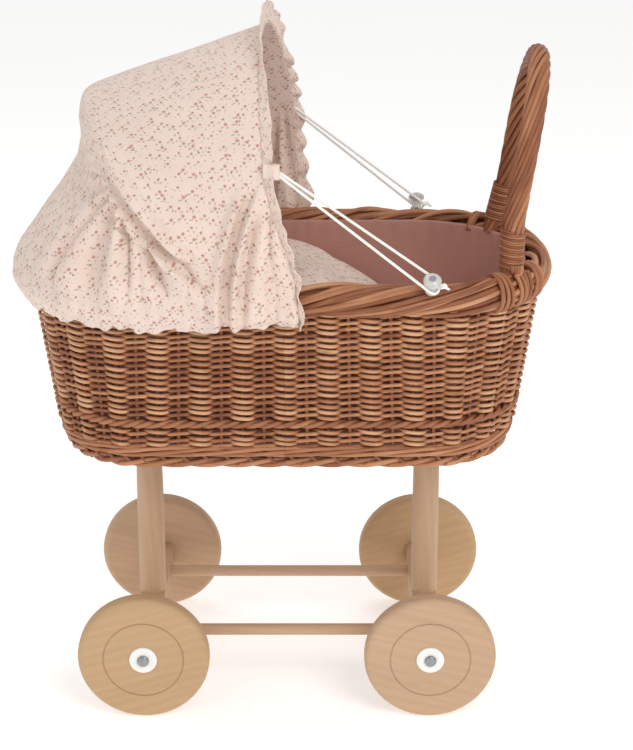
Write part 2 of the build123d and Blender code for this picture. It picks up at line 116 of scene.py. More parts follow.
class Wire:
    """An output in a material's node tree, which can be used in Python sums."""

    def __init__(self, tree, output=None):
        self.tree, self.output = tree, output

    def node(self, kind, settings=None, values=None, output=0):
        """Adds a node: its settings first, then the values or wires of its sockets."""
        made = self.tree.nodes.new(kind)
        for name, value in (settings or {}).items():
            if name == "stops":
                ramp = made.color_ramp
                while len(ramp.elements) < len(value):
                    ramp.elements.new(0.5)
                for element, (place, colour) in zip(ramp.elements, value):
                    element.position, element.color = place, colour
            else:
                setattr(made, name, value)
        for name, value in (values or {}).items():
            if isinstance(value, Wire):
                self.tree.links.new(value.output, made.inputs[name])
            else:
                made.inputs[name].default_value = value
        return Wire(self.tree, made.outputs[output]) if made.outputs else Wire(self.tree)

    def math(self, operation, *values):
        return self.node("ShaderNodeMath", {"operation": operation}, dict(enumerate(values)))

    def __add__(self, other):
        return self.math("ADD", self, other)

    def __mul__(self, other):
        return self.math("MULTIPLY", self, other)

    def __sub__(self, other):
        return self.math("SUBTRACT", self, other)

    def __rsub__(self, other):
        return self.math("SUBTRACT", other, self)

    def __gt__(self, other):
        return self.math("GREATER_THAN", self, other)

    __radd__, __rmul__ = __add__, __mul__

    def clamp(self, low=0.0, high=1.0):
        return self.math("MINIMUM", self.math("MAXIMUM", self, low), high)

    def blur(self, low, high):
        """0 below low, 1 above high, and a soft step between."""
        return self.node("ShaderNodeMapRange", {"interpolation_type": "SMOOTHSTEP"},
                         {"Value": self, "From Min": low, "From Max": high})

    def mixed(self, first, second):
        """The first colour where this is 0 and the second where it is 1."""
        return self.node("ShaderNodeMix", {"data_type": "RGBA"}, {0: self, 6: first, 7: second}, 2)

    def part(self, axis):
        """One part of this vector: 0 for X, 1 for Y and 2 for Z."""
        return self.node("ShaderNodeSeparateXYZ", None, {"Vector": self}, axis)

    def vector(self, operation, *values, output=0):
        return self.node("ShaderNodeVectorMath", {"operation": operation},
                         dict(enumerate((self,) + values)), output)

    def stretched(self, scale):
        """This vector with each part multiplied."""
        return self.vector("MULTIPLY", scale)

    def noise(self, scale, detail=3.0, rough=0.5, output=0):
        return self.node("ShaderNodeTexNoise", None,
                         {"Vector": self, "Scale": scale, "Detail": detail, "Roughness": rough}, output)

    def speckle(self, scale, output="Distance", flat=False, random=1.0):
        """Voronoi cells: distances, colours or places of scattered points."""
        return self.node("ShaderNodeTexVoronoi", {"voronoi_dimensions": "2D" if flat else "3D"},
                         {"Vector": self, "Scale": scale, "Randomness": random}, output)


print("a wire knows", len([n for n in dir(Wire) if not n.startswith("__")]), "moves")

# %% A finish from wires


def rgb(red, green, blue):
    """A colour given as it looks on a screen, from 0 to 255, as the linear colour nodes use."""
    parts = [c / 255 for c in (red, green, blue)]
    return tuple(c / 12.92 if c <= 0.04045 else ((c + 0.055) / 1.055) ** 2.4 for c in parts) + (1,)


def finish(name, paint, **constants):
    """A material. paint gets a wire and returns what varies over the surface, height among it."""
    material = bpy.data.materials.new(name)
    material.use_nodes = True
    tree = material.node_tree
    shader = tree.nodes["Principled BSDF"]
    for socket, value in constants.items():
        shader.inputs[socket.replace("_", " ")].default_value = value
    varied = paint(Wire(tree))
    height, depth = varied.pop("height", None), varied.pop("depth", 0.2 * mm)
    if height:
        varied["Normal"] = height.node("ShaderNodeBump", None, {"Height": height, "Distance": depth})
    for socket, wire in varied.items():
        tree.links.new(wire.output, shader.inputs[socket])
    return material


def place(wire):
    """The point of the surface, in the object's own frame."""
    return wire.node("ShaderNodeTexCoord", output="Object")


def stored(wire, name, output="Vector"):
    """A value that the mesh carries at its points."""
    return wire.node("ShaderNodeAttribute", {"attribute_name": name}, output=output)


def paint_floor(wire):
    spot = place(wire)
    return {"Base Color": spot.noise(2.0).mixed(rgb(243, 242, 240), rgb(247, 246, 245)),
            "Roughness": spot.noise(30.0) * 0.1 + 0.75}


floor_finish = finish("pale_floor", paint_floor, Specular_IOR_Level=0.2, Emission_Strength=0.42,
                     Emission_Color=(1, 1, 1, 1))
print("finishes start with", floor_finish.name)

# %% Floor
floor_size = 8.0
corners = [(x * floor_size, y * floor_size, 0) for x, y in ((-1, -1), (1, -1), (1, 1), (-1, 1))]
floor_mesh = bpy.data.meshes.new("floor")
floor_mesh.from_pydata(corners, [], [(0, 1, 2, 3)])
floor = bpy.data.objects.new("floor", floor_mesh)
floor.data.materials.append(floor_finish)
bpy.context.scene.collection.objects.link(floor)
print("floor", 2 * floor_size, "m across")

# %% [markdown]
# ## Rods
# Willow rods, cords, wrappings and stitches are all round things that follow a path. One helper
# rings a path with points and joins the rings. It also stores three facts at every point that
# the finishes read: how far along and round the rod it is, so that the grain runs lengthwise,
# and a tint, so that no two rods have the same colour. In the woven rows and the twisted rods
# the tint also holds painted light, lighter where a rod stands out and darker where it lies back.

# %% Tubes along paths


def piece(name, points, faces, material, body, slot, replaced=()):
    """A smooth mesh that rides on a body, takes a finish and stands for CAD nodes."""
    mesh = bpy.data.meshes.new(name)
    mesh.from_pydata(np.asarray(points).tolist(), [], faces)
    mesh.shade_smooth()
    thing = bpy.data.objects.new(name, mesh)
    bpy.context.scene.collection.objects.link(thing)
    mesh.materials.append(material)
    if body:
        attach(thing, body)
    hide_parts(*replaced)
    return thing


def carry(thing, name, values, kind="FLOAT"):
    """Stores a value at each point of a mesh."""
    values = np.asarray(values, np.float32)
    attribute = thing.data.attributes.new(name, kind, "POINT")
    attribute.data.foreach_set("vector" if kind == "FLOAT_VECTOR" else "value", values.ravel())


def unit(vectors):
    return vectors / np.maximum(np.linalg.norm(vectors, axis=-1, keepdims=True), 1e-12)


def tube(path, radius, sides=8, closed=False, up=(0, 0, 1)):
    """Points, faces and rod coordinates of a tube. up is a direction that the path never takes."""
    path = np.asarray(path, float)
    count = len(path)
    if closed:
        along = np.roll(path, -1, 0) - np.roll(path, 1, 0)
    else:
        along = np.gradient(path, axis=0)
    side = unit(np.cross(along, up))
    over = unit(np.cross(side, along))
    turn = np.linspace(0, 2 * np.pi, sides, endpoint=False)
    radius = np.broadcast_to(radius, count)[:, None, None]
    ring = side[:, None] * np.cos(turn)[None, :, None] + over[:, None] * np.sin(turn)[None, :, None]
    points = (path[:, None] + ring * radius).reshape(-1, 3)
    steps = np.linalg.norm(np.diff(path, axis=0), axis=1)
    run = np.concatenate([[0], np.cumsum(steps)])
    rod = np.stack([np.repeat(run, sides), np.tile(np.cos(turn), count), np.tile(np.sin(turn), count)], 1)
    rod[:, 1:] *= radius.reshape(-1).repeat(sides)[:, None]
    faces = []
    for i in range(count if closed else count - 1):
        a, b = i * sides, (i + 1) % count * sides
        faces += [(a + j, a + (j + 1) % sides, b + (j + 1) % sides, b + j) for j in range(sides)]
    if not closed:
        faces += [tuple(range(sides))[::-1], tuple(range((count - 1) * sides, count * sides))]
    return points, faces, rod


def bundle(name, rods, material, body, slot, replaced=(), seed=1):
    """Many tubes as one piece. Each rod is (path, radius) or (path, radius, tints, options)."""
    chance = np.random.default_rng(seed)
    points, faces, grain, tints, start = [], [], [], [], 0
    for path, radius, *more in rods:
        shade = more[0] if more else chance.random()
        options = more[1] if len(more) > 1 else {}
        made, joined, rod = tube(path, radius, **options)
        rod = rod + np.array([chance.random() * 10, 0, 0]) + chance.random(3) * np.array([0, 1, 1]) * 0.02
        points.append(made)
        grain.append(rod)
        faces += [tuple(start + i for i in face) for face in joined]
        tints.append(np.repeat(np.broadcast_to(shade, len(path)), len(made) // len(path)))
        start += len(made)
    thing = piece(name, np.concatenate(points), faces, material, body, slot, replaced)
    carry(thing, "rod", np.concatenate(grain), "FLOAT_VECTOR")
    carry(thing, "tint", np.concatenate(tints))
    print(name, len(rods), "rods,", start, "points")
    return thing

# %% [markdown]
# ## White elastic, and the hood's cords
# Two doubled elastic cords hold the hood up. Each leaves a cloth tab on the hood, runs down to a
# knob on the rim, goes round the knob's neck and comes back. A cord under tension is almost
# straight, so a smooth spline needs only a few points: its ends, one point on each run where it
# nears the knob, and the two corners behind the knob. The spline is drawn first, then a tube
# follows the points that Blender reads from it.

# %% Elastic finish
thread_pitch = 1.1 * mm


def paint_elastic(wire):
    rod = stored(wire, "rod")
    twist = rod.stretched((2 * math.pi / thread_pitch, 900, 900))
    along = twist.part(0)
    braid = along.math("SINE", along) * 0.5 + 0.5
    worn = rod.stretched((200, 900, 900)).noise(1.0)
    # The colour is darker in the braid's grooves, a painted shade, and varies with the worn noise.
    return {"Base Color": (braid * 0.5 + worn * 0.5).mixed(rgb(222, 216, 208), rgb(250, 248, 244)),
            "Roughness": worn * 0.2 + 0.6, "height": braid + worn * 0.4, "depth": 0.15 * mm}


# The emission is a painted glow that keeps the cords white where they fall in shade.
elastic = finish("white_elastic", paint_elastic, Sheen_Weight=0.2, Emission_Color=(1, 0.98, 0.96, 1),
                 Emission_Strength=0.12)
print(elastic.name)

# %% Cord routes
SIDES = {"left": -1, "right": 1}
rim_low, rim_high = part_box("rim_border")
rim_middle_z = (rim_low.z + rim_high.z) / 2
rim_width = 19 * mm
rim_centre_y = rim_high.y - rim_width / 2
knob_x, knob_tilt, knob_neck = 103 * mm, math.radians(35), 17.5 * mm
cord_radius, cord_loop, cord_pair, cord_length = 1 * mm, 6 * mm, 1.2 * mm, 0.291
cord_start = (-5 * mm, 115.8 * mm, 433 * mm)
cord_bend_near = 12 * mm


def knob_axis(side):
    return Vector((0, side * math.sin(knob_tilt), math.cos(knob_tilt)))


def cord_route(side):
    """The cord's control points and the middle of its loop."""
    start = Vector((cord_start[0], side * cord_start[1], cord_start[2]))
    neck = Vector((knob_x, side * rim_centre_y, rim_middle_z)) + knob_axis(side) * knob_neck
    pull = (neck - start).normalized()
    over = pull.cross(knob_axis(side)).normalized() * side
    end, apart = neck + pull * cord_loop, Vector((0, 0, cord_pair))
    before = end - pull * cord_bend_near
    route = [start + apart, before + over * cord_loop, end + over * cord_loop,
             end - over * cord_loop, before - over * cord_loop, start - apart]
    return route, neck


def spline_points(name, route, fineness=24):
    """The points of a smooth spline through a route, read from the curve."""
    curve = bpy.data.curves.new(name, "CURVE")
    curve.dimensions = "3D"
    spline = curve.splines.new("NURBS")
    spline.points.add(len(route) - 1)
    for point, corner in zip(spline.points, route):
        point.co = (*corner, 1)
    spline.order_u = 3
    spline.use_endpoint_u = True
    spline.resolution_u = fineness
    holder = bpy.data.objects.new(name, curve)
    bpy.context.scene.collection.objects.link(holder)
    mesh = bpy.data.meshes.new_from_object(holder)
    points = np.array([v.co for v in mesh.vertices])
    bpy.data.objects.remove(holder)
    bpy.data.curves.remove(curve)
    return points


# %% Cords and their knots
knot_size = 0.9 * mm


def knot_path(centre, size):
    """An overhand knot: a trefoil pulled tight."""
    turn = np.linspace(0, 2 * np.pi, 60, endpoint=False)
    trefoil = np.stack([np.sin(turn) + 2 * np.sin(2 * turn), np.cos(turn) - 2 * np.cos(2 * turn),
                        -1.3 * np.sin(3 * turn)], 1)
    return np.array(centre) + trefoil * size * np.array([0.9, 0.75, 0.75])


for name, side in SIDES.items():
    route, neck = cord_route(side)
    line = spline_points(f"route_{name}", route)
    cord = bundle(f"hood_cord_{name}_elastic", [(line, cord_radius, 0.5, {"sides": 10})], elastic,
                  None, "white_elastic", [f"hood_cord_{name}"])
    knot_low, knot_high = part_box(f"cord_knot_{name}")
    knot_middle = (knot_low + knot_high) / 2
    tail = np.array([knot_middle + Vector((1.0, 0, -0.5)) * t * mm for t in (0.5, 2.5, 4.5)])
    knot = bundle(f"cord_knot_{name}_tied",
                  [(knot_path(knot_middle, knot_size), 0.95 * mm, 0.5,
                    {"closed": True, "up": (0.2, 0.3, 1)}),
                   (tail, 0.9 * mm)], elastic, "pram", "white_elastic", [f"cord_knot_{name}"])
    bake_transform(cord)
    print(name, "cord route of", len(route), "points")

# %% [markdown]
# ## Willow
# Boiled willow is red brown. Each rod has a fine lengthwise grain, a few small buds and a
# soft natural shine. The grain is noise stretched along the rod's own coordinates, so it follows
# every bend, and the rod's stored tint chooses between three browns. On the woven rows and the
# twisted rods that tint also holds painted light: a painted highlight where a rod stands out and
# painted shade where it lies back between the stakes.

# %% Willow finish


def paint_willow(wire):
    rod, tint = stored(wire, "rod"), stored(wire, "tint", "Fac")
    fibre = rod.stretched((70, 1500, 1500)).noise(1.0, 4.0)
    patch = rod.stretched((45, 120, 120)).noise(1.0, 2.0)
    bud = rod.stretched((30, 160, 160)).speckle(1.0)
    # The stored tint is each rod's random tone and, on woven rows and twisted rods, painted light as well.
    shade = (tint * 0.62 + patch * 0.42 + fibre * 0.3 - 0.2).clamp()
    brown = shade.node("ShaderNodeValToRGB", {"stops": [
        (0.0, rgb(88, 46, 27)), (0.3, rgb(142, 86, 56)), (0.62, rgb(178, 121, 84)),
        (1.0, rgb(212, 163, 124))]}, {0: shade})
    mark = (0.2 - bud).clamp() * 3.5
    return {"Base Color": mark.clamp().mixed(brown, rgb(84, 44, 26)),
            "Roughness": fibre * 0.25 + 0.38,
            "height": fibre + patch * 0.6 + mark * 0.8, "depth": 0.25 * mm}


willow = finish("willow", paint_willow, Specular_IOR_Level=0.42)
print(willow.name)

# %% [markdown]
# ## The basket's plan
# Every level of the basket is a rounded rectangle that is close to an oval. A place on the wall
# is a share of the way round, so that a stake stands over its own foot although the basket is
# wider at the top. The corners, the long sides and the ends keep the same shares on all levels.

# %% Oval outlines
foot_plan = np.array([169, 84.5, 68]) * mm
wall_foot_plan = np.array([171, 86, 69]) * mm
wall_top_plan = np.array([188, 100, 91]) * mm
rim_plan = np.array([197, 108.5, 100]) * mm
wall_foot_z, wall_top_z = 213 * mm, 326 * mm
wall_thickness = 5 * mm
stake_count = 62


def plan_stops(plan):
    """How far round the outline each straight and each corner ends, as shares of the whole."""
    long_side, end, corner = 2 * (plan[0] - plan[2]), 2 * (plan[1] - plan[2]), math.pi / 2 * plan[2]
    runs = np.cumsum([0, long_side / 2, corner, end, corner, long_side, corner, end, corner, long_side / 2])
    return runs / runs[-1]


stops = plan_stops((wall_foot_plan + wall_top_plan) / 2)
facing = np.radians([-90, -90, 0, 0, 90, 90, 180, 180, 270, 270])
corner_x = np.array([0, 1, 1, 1, 1, -1, -1, -1, -1, 0])
corner_y = np.array([-1, -1, -1, 1, 1, 1, 1, -1, -1, -1])


def oval(plan, share, inset=0.0):
    """Points and outward directions at shares of the way round a plan moved in by inset."""
    share = np.mod(share, 1)
    length, width, corner = [np.asarray(size) for size in plan]
    turn = np.interp(share, stops, facing)
    out = np.stack([np.cos(turn), np.sin(turn)], -1)
    x = np.interp(share, stops, corner_x) * (length - corner) + out[..., 0] * (corner - inset)
    y = np.interp(share, stops, corner_y) * (width - corner) + out[..., 1] * (corner - inset)
    return np.stack([x, y], -1), out


def wall_at(share, z, outward=0.0):
    """A point in the middle of the wall's thickness at a height, moved outwards."""
    rise = (np.asarray(z) - wall_foot_z) / (wall_top_z - wall_foot_z)
    plan = [low + (high - low) * rise for low, high in zip(wall_foot_plan, wall_top_plan)]
    flat, _ = oval(plan, share, wall_thickness / 2 - outward)
    return np.concatenate([flat, np.broadcast_to(z, np.shape(share))[..., None]], -1)


def ring_at(plan, share, z, inset=0.0):
    flat, _ = oval(plan, share, inset)
    return np.concatenate([flat, np.broadcast_to(z, np.shape(share))[..., None]], -1)


print("perimeter at the rim", round(2 * math.pi * rim_plan[2] + 4 * (rim_plan[0] - rim_plan[2]), 3), "m")

# %% [markdown]
# ## Weaving the wall
# The wall is plain weaving: thin rods go in front of one stake and behind the next, and each row
# does the opposite of the row below. So the rods bulge in columns, one column to a stake. A row
# is one closed tube whose distance from the wall's middle follows a cosine that turns over once
# per stake. Rods are joined inside the row, which shows as a change of tint.

# %% Rows of weaving
weaver_radius = 1.4 * mm
weave_pitch = 2.45 * mm
weave_swing = 2.3 * mm
column_swing = 1.5 * mm
column_slant = 0.5 * mm
# The next number lightens the columns that stand out and darkens the others: painted light.
column_painted_light = 0.3
row_samples = stake_count * 10
wale_z = (233.6 * mm, 241.2 * mm)
chance = np.random.default_rng(11)


def wave_noise(share, count, size, chance):
    """A smooth closed wobble round the basket."""
    return sum(size / n * np.sin(2 * math.pi * (n * share + chance.random())) for n in range(1, count + 1))


def weaver(row, z, chance):
    """One row of weaving at a height."""
    share = np.arange(row_samples) / row_samples
    column = share * stake_count
    level = z + wave_noise(share, 5, 0.35 * mm, chance) - column_slant * np.sin(math.pi * column)
    side = np.tanh(2.6 * np.cos(math.pi * (column + row)))
    outward = weave_swing * side + column_swing * np.cos(math.pi * column)
    joints = np.sort(chance.random(5))
    shades = chance.uniform(0.15, 1.0, 6)
    # The tint is the rod's random tone plus painted light: a painted highlight where the rod passes in front
    # of a stake and on the columns that stand out, painted shade where it lies back.
    tint = shades[np.searchsorted(joints, share)] + 0.2 * side + column_painted_light * np.cos(math.pi * column)
    thick = weaver_radius * (1 + 0.05 * np.sin(2 * math.pi * (share * 7 + chance.random())))
    return wall_at(share, level, outward), thick, tint, {"closed": True}


upper_rows = np.arange(wale_z[1] + weaver_radius, rim_low.z + 2.5 * mm, weave_pitch)
lower_rows = np.arange(wall_foot_z + 6 * mm, wale_z[0] - weaver_radius, weave_pitch)
bundle("side_weave_upper_rods", [weaver(i, z, chance) for i, z in enumerate(upper_rows)],
       willow, "pram", "wicker", ["side_weave_upper"])
bundle("side_weave_lower_rods", [weaver(i + 1, z, chance) for i, z in enumerate(lower_rows)],
       willow, "pram", "wicker", ["side_weave_lower"])

# %% [markdown]
# ## The wale
# A wale is a band of three rods woven together: each goes in front of two stakes and behind one,
# and they swap places as a rope does. It holds the wall's shape, so it sits low on the side
# where the basket is pushed about. Three closed helices, a third of a turn apart, give it.

# %% Wale rods


def rope(place_at, strands, turns, swing_out, swing_up, radius, seed, samples=640, wander=0.0,
         tints=(0.2, 0.9)):
    """Closed rods that wind round a ring. place_at gives a point from a share, outward and up."""
    chance = np.random.default_rng(seed)
    share = np.arange(samples) / samples
    rods = []
    for strand in range(strands):
        drift = wave_noise(share, 6, wander, chance)
        angle = 2 * math.pi * (turns * share + strand / strands) + drift
        size = 1 + 0.4 * wave_noise(share, 4, wander, chance)
        path = place_at(share, swing_out * size * np.cos(angle), swing_up * size * np.sin(angle))
        shades = chance.uniform(*tints, 7)
        # The tint is each rod's random tone plus painted light: lighter where the rod winds to the outside,
        # darker where it winds in.
        tint = shades[np.searchsorted(np.sort(chance.random(6)), share)] + 0.1 * np.cos(angle)
        rods.append((path, radius, tint, {"closed": True}))
    return rods


wale_middle = (wale_z[0] + wale_z[1]) / 2
wale_rods = rope(lambda share, out, up: wall_at(share, wale_middle + up, out + 0.6 * mm),
                 3, 31, 2.8 * mm, 1.6 * mm, 1.8 * mm, seed=21, samples=900, tints=(0.2, 0.6))
bundle("middle_wale_rods", wale_rods, willow, "pram", "wicker", ["middle_wale"])

# %% [markdown]
# ## Stakes and borders
# The stakes are the upright rods. At the foot they all lean one way before they turn into the
# twisted border, which leaves small slanting gaps. At the top they are bent down and laid
# along the basket in a thick rolled rim: long rods that climb slowly round a core, with a few
# that climb faster and cross them.

# %% Stakes
stake_radius, stake_back = 1.6 * mm, -0.9 * mm
foot_low, foot_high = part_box("foot_border")
foot_lean = 0.8
stakes = []
for number in range(stake_count):
    share = number / stake_count
    heights = np.concatenate([[foot_low.z + 3 * mm, foot_low.z + 6 * mm],
                              np.linspace(wall_foot_z + 1 * mm, rim_middle_z, 14)])
    shares = share + (np.array([foot_lean, 0.5 * foot_lean] + [0] * 14)) / stake_count
    stakes.append((wall_at(shares, heights, stake_back), stake_radius, 0.2, {"up": (0.6, 0.8, 0)}))
bundle("side_stakes_rods", stakes, willow, "pram", "wicker", ["side_stakes"])

# %% Foot border
foot_middle_z, foot_inset = (foot_low.z + foot_high.z) / 2, 4.75 * mm
foot_rods = rope(lambda share, out, up: ring_at(foot_plan, share, foot_middle_z + up, foot_inset - out),
                 3, 14, 2.7 * mm, 2.4 * mm, 2.0 * mm, seed=31)
foot_line = ring_at(foot_plan, np.arange(240) / 240, foot_middle_z, foot_inset)
foot_core = [(foot_line, 2.2 * mm, 0.1, {"closed": True})]
foot_band = rope(lambda share, out, up: wall_at(share, wall_foot_z + 1.8 * mm + up, out + 1.4 * mm),
                 4, 6, 0.9 * mm, 3.0 * mm, 1.6 * mm, seed=32, tints=(0.3, 0.8))
bundle("foot_border_rods", foot_rods + foot_core + foot_band, willow, "pram", "wicker", ["foot_border"])

# %% Rim border
rim_rod = 1.9 * mm
rim_out, rim_up = rim_width / 2 - rim_rod, (rim_high.z - rim_low.z) / 2 - rim_rod


def rim_at(share, out, up):
    return ring_at(rim_plan, share, rim_middle_z + up, rim_width / 2 - out)


rim_rods = rope(rim_at, 14, 4, rim_out, rim_up, rim_rod, seed=41, wander=0.3, samples=420,
                tints=(0.05, 0.95))
rim_rods += rope(rim_at, 3, 6, rim_out + 0.5 * mm, rim_up + 0.5 * mm, 2.0 * mm, seed=42, wander=0.3,
                 samples=420, tints=(0.5, 1.0))
rim_rods += rope(rim_at, 6, 5, rim_out - 3.6 * mm, rim_up - 3.6 * mm, 3 * mm, seed=43, samples=420,
                 tints=(0, 0.2))
bundle("rim_border_rods", rim_rods, willow, "pram", "wicker", ["rim_border"])

# %% [markdown]
# ## The woven base
# Under the board the basket has a woven bottom of its own. Sticks lie across it, and thin rods
# run along it over one stick and under the next, cut to the oval.

# %% Base weaving
base_low, base_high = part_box("basket_base")
base_plan = foot_plan - 9.5 * mm
base_middle_z = (base_low.z + base_high.z) / 2
stick_pitch, base_pitch = 15 * mm, 3.7 * mm
base_rods = []


def half_width(plan, x):
    """Half the plan's width at a distance from its middle."""
    past = np.clip(np.abs(x) - (plan[0] - plan[2]), 0, plan[2])
    return plan[1] - plan[2] + np.sqrt(plan[2] ** 2 - past ** 2)


def half_length(plan, y):
    past = np.clip(np.abs(y) - (plan[1] - plan[2]), 0, plan[2])
    return plan[0] - plan[2] + np.sqrt(plan[2] ** 2 - past ** 2)


for x in np.arange(-10, 11) * stick_pitch:
    reach = half_width(base_plan, x)
    path = [(x, y, base_middle_z) for y in np.linspace(-reach, reach, 12)]
    base_rods.append((path, 1.5 * mm, 0.4, {"up": (0, 0, 1)}))
for row, y in enumerate(np.arange(-19, 20) * base_pitch):
    reach = half_length(base_plan, y)
    x = np.arange(-reach, reach, stick_pitch / 6)
    z = base_middle_z + 1.5 * mm * np.cos(math.pi * (x / stick_pitch + row))
    path = np.stack([x, np.full_like(x, y), z], 1)
    base_rods.append((path, 1.5 * mm, chance.uniform(0.1, 0.7), {"sides": 6}))
bundle("basket_base_rods", base_rods, willow, "pram", "wicker", ["basket_base"])

# %% [markdown]
# ## The handle
# The handle is a bundle of rods, twisted like a rope and bent to a hoop that leans back. Fine
# split willow is wrapped round the foot of each leg, and the ends of the bundle are lashed over
# the rim on both sides of the leg. The rods follow a path in the hoop's own leaning plane.

# %% Twisted hoop
handle_foot = np.array([162, 0, 345]) * mm
handle_lean = math.radians(9)
handle_half_width, handle_leg, handle_sunk = 65.5 * mm, 81.3 * mm, 6 * mm
handle_rise = np.array([math.sin(handle_lean), 0, math.cos(handle_lean)])
handle_face = np.array([math.cos(handle_lean), 0, -math.sin(handle_lean)])
handle_length = 2 * (handle_leg + handle_sunk) + math.pi * handle_half_width
handle_skew = 4 * mm


def handle_at(run):
    """The hoop's middle line, and the direction away from the hoop's centre, at a distance along it."""
    run = np.asarray(run, float)
    leg = handle_leg + handle_sunk
    bent = np.clip((run - leg) / handle_half_width, 0, math.pi)
    rise = np.where(run < leg, run - handle_sunk, np.where(run > handle_length - leg,
                    handle_length - run - handle_sunk, handle_leg + handle_half_width * np.sin(bent)))
    across = -handle_half_width * np.cos(bent)
    raised = np.clip(rise / (0.5 * handle_leg), 0, 1)
    twisted = raised * handle_skew * (across / handle_half_width - 0.35)
    middle = (handle_foot + rise[:, None] * handle_rise + across[:, None] * np.array([0, 1, 0])
              + twisted[:, None] * np.array([1, 0, 0]))
    away = np.sin(bent)[:, None] * handle_rise - np.cos(bent)[:, None] * np.array([0, 1.0, 0])
    return middle, away


def coil(run, radius, angle):
    """A rod wound round the hoop: its path from distances along it, radii and angles."""
    middle, away = handle_at(run)
    out = np.cos(angle)[:, None] * away + np.sin(angle)[:, None] * handle_face
    return middle + np.asarray(radius)[..., None] * out


twist_pitch, handle_rods, handle_rod, handle_core = 150 * mm, 11, 1.85 * mm, 5 * mm
run = np.linspace(0, handle_length, 220)
swell = 6.2 * mm * (1 + 0.05 * np.sin(run / handle_length * 19))
hoop = []
for rod in range(handle_rods):
    angle = 2 * math.pi * (run / twist_pitch + rod / handle_rods) + 0.15 * np.sin(run * 60 + rod)
    path = coil(run, swell, angle)
    hoop.append((path, handle_rod, chance.uniform(0.1, 0.95), {"up": tuple(handle_face)}))
hoop.append((coil(run, 0 * run, run), handle_core, 0.05, {"up": tuple(handle_face)}))
bundle("handle_hoop_rods", hoop, willow, "pram", "wicker", ["handle_hoop"])

# %% Wrapped feet of the handle
wrap_span, wrap_rod, wrap_pitch = (5 * mm, 33 * mm), 0.85 * mm, 1.75 * mm
for name, side in SIDES.items():
    turns = (wrap_span[1] - wrap_span[0]) / wrap_pitch
    angle = np.linspace(0, 2 * math.pi * turns, int(turns * 22))
    run = handle_sunk + np.linspace(*wrap_span, len(angle))
    if side > 0:
        run = handle_length - run
    shade = 0.45 + 0.3 * np.sin(angle * 0.37)
    bundle(f"handle_wrap_{name}", [(coil(run, np.full(len(run), 8.4 * mm), angle), wrap_rod, shade,
                                    {"sides": 6, "up": (0.01, 0.02, 1)})],
           willow, "pram", "wicker", [f"handle_binding_{name}"])

# %% Lashings over the rim
lash_rod = 1.7 * mm
lash_out, lash_up = rim_width / 2 + 0.9 * mm, (rim_high.z - rim_low.z) / 2 + 0.9 * mm


def lashing(share, slant, start, end):
    """A rod laid round the rim's section, from one angle to another, which slants along the rim."""
    angle = np.linspace(start, end, 30)
    step = slant * np.linspace(-0.5, 0.5, 30)
    return ring_at(rim_plan, share + step, rim_middle_z + lash_up * np.sin(angle),
                   rim_width / 2 - lash_out * np.cos(angle))


def share_near(x, y):
    """The share of the rim's outline that is nearest to a place."""
    shares = np.arange(4000) / 4000
    flat, _ = oval(rim_plan, shares, rim_width / 2)
    return shares[np.argmin(np.hypot(flat[:, 0] - x, flat[:, 1] - y))]


for name, side in SIDES.items():
    centre = share_near(handle_foot[0], side * handle_half_width)
    rods = []
    for offset, slant in ((-0.020, 0.002), (-0.0165, 0.004), (-0.013, 0.008), (0.0135, -0.010),
                          (0.017, -0.006), (0.0205, -0.002)):
        path = lashing(centre + side * offset, side * slant, math.radians(175), math.radians(-115))
        rods.append((path, lash_rod, chance.uniform(0.35, 0.9), {"up": (0.3, 0.95 * side, 0.05)}))
    leg_face = side * np.array([0, 1.0, 0]) + np.array([0.25, 0, 0])
    for offset in (-5.2, -1.7, 1.8, 5.3):
        top = handle_foot + np.array([0, side * handle_half_width, 0]) + handle_rise * 9 * mm
        along = np.array([offset * mm, 0, 0])
        points = [top + along * 0.6 + leg_face * 8.6 * mm,
                  top + along * 0.8 + leg_face * 9.6 * mm - handle_rise * 7 * mm]
        round_rim = np.radians(np.linspace(62, -100, 14))
        spread = centre + np.linspace(0, 0.003, 14) * np.sign(offset) + offset * 0.0011 * side
        under = ring_at(rim_plan, spread, rim_middle_z + lash_up * np.sin(round_rim),
                        rim_width / 2 - lash_out * np.cos(round_rim))
        path = np.concatenate([points, under])
        rods.append((spline_points("lash", path, 6), lash_rod * 0.95, chance.uniform(0.35, 0.9),
                     {"up": (0.85, -0.5 * side, 0.1)}))
    bundle(f"handle_lashing_{name}", rods, willow, "pram", "wicker")

# %% [markdown]
# ## Beech
# The wheels, posts, beams and rails are turned or planed beech under a thin oil. Beech is pale
# and even, with a long quiet grain and the short dark flecks that tell it from other woods. The
# shapes from the CAD are right, so those nodes stay and only take this finish. The grain runs
# along each piece, which is a matter of squeezing the noise along one axis.

# %% Beech finish


def beech(name, squeeze, light, dark, turn=0.0):
    """Pale wood. squeeze is how fine the grain is along each axis, and small along the grain."""

    def paint(wire):
        spot = place(wire)
        spot = spot.node("ShaderNodeMapping", None, {"Vector": spot, "Rotation": (0, turn, 0)})
        rings = spot.stretched(squeeze)
        drift = rings.noise(0.6, 2.0)
        bands = rings.node("ShaderNodeTexWave", {"wave_type": "BANDS", "bands_direction": "DIAGONAL"},
                           {"Vector": rings, "Scale": 0.55, "Distortion": 7.0, "Detail": 2.0,
                            "Detail Scale": 0.8})
        pores = rings.noise(9.0, 3.0)
        fleck = rings.stretched((3.0, 3.0, 3.0)).speckle(1.3)
        flecks = (0.2 - fleck).clamp() * 1.6
        shade = (bands * 0.16 + drift * 0.6 + pores * 0.34 - 0.05).clamp()
        wood = shade.mixed(dark, light)
        return {"Base Color": flecks.clamp().mixed(wood, tuple(c * 0.55 for c in dark[:3]) + (1,)),
                "Roughness": pores * 0.25 + 0.42, "height": pores * 0.5 + bands * 0.3 - flecks * 0.4,
                "depth": 0.06 * mm}

    return finish(name, paint, Specular_IOR_Level=0.35)


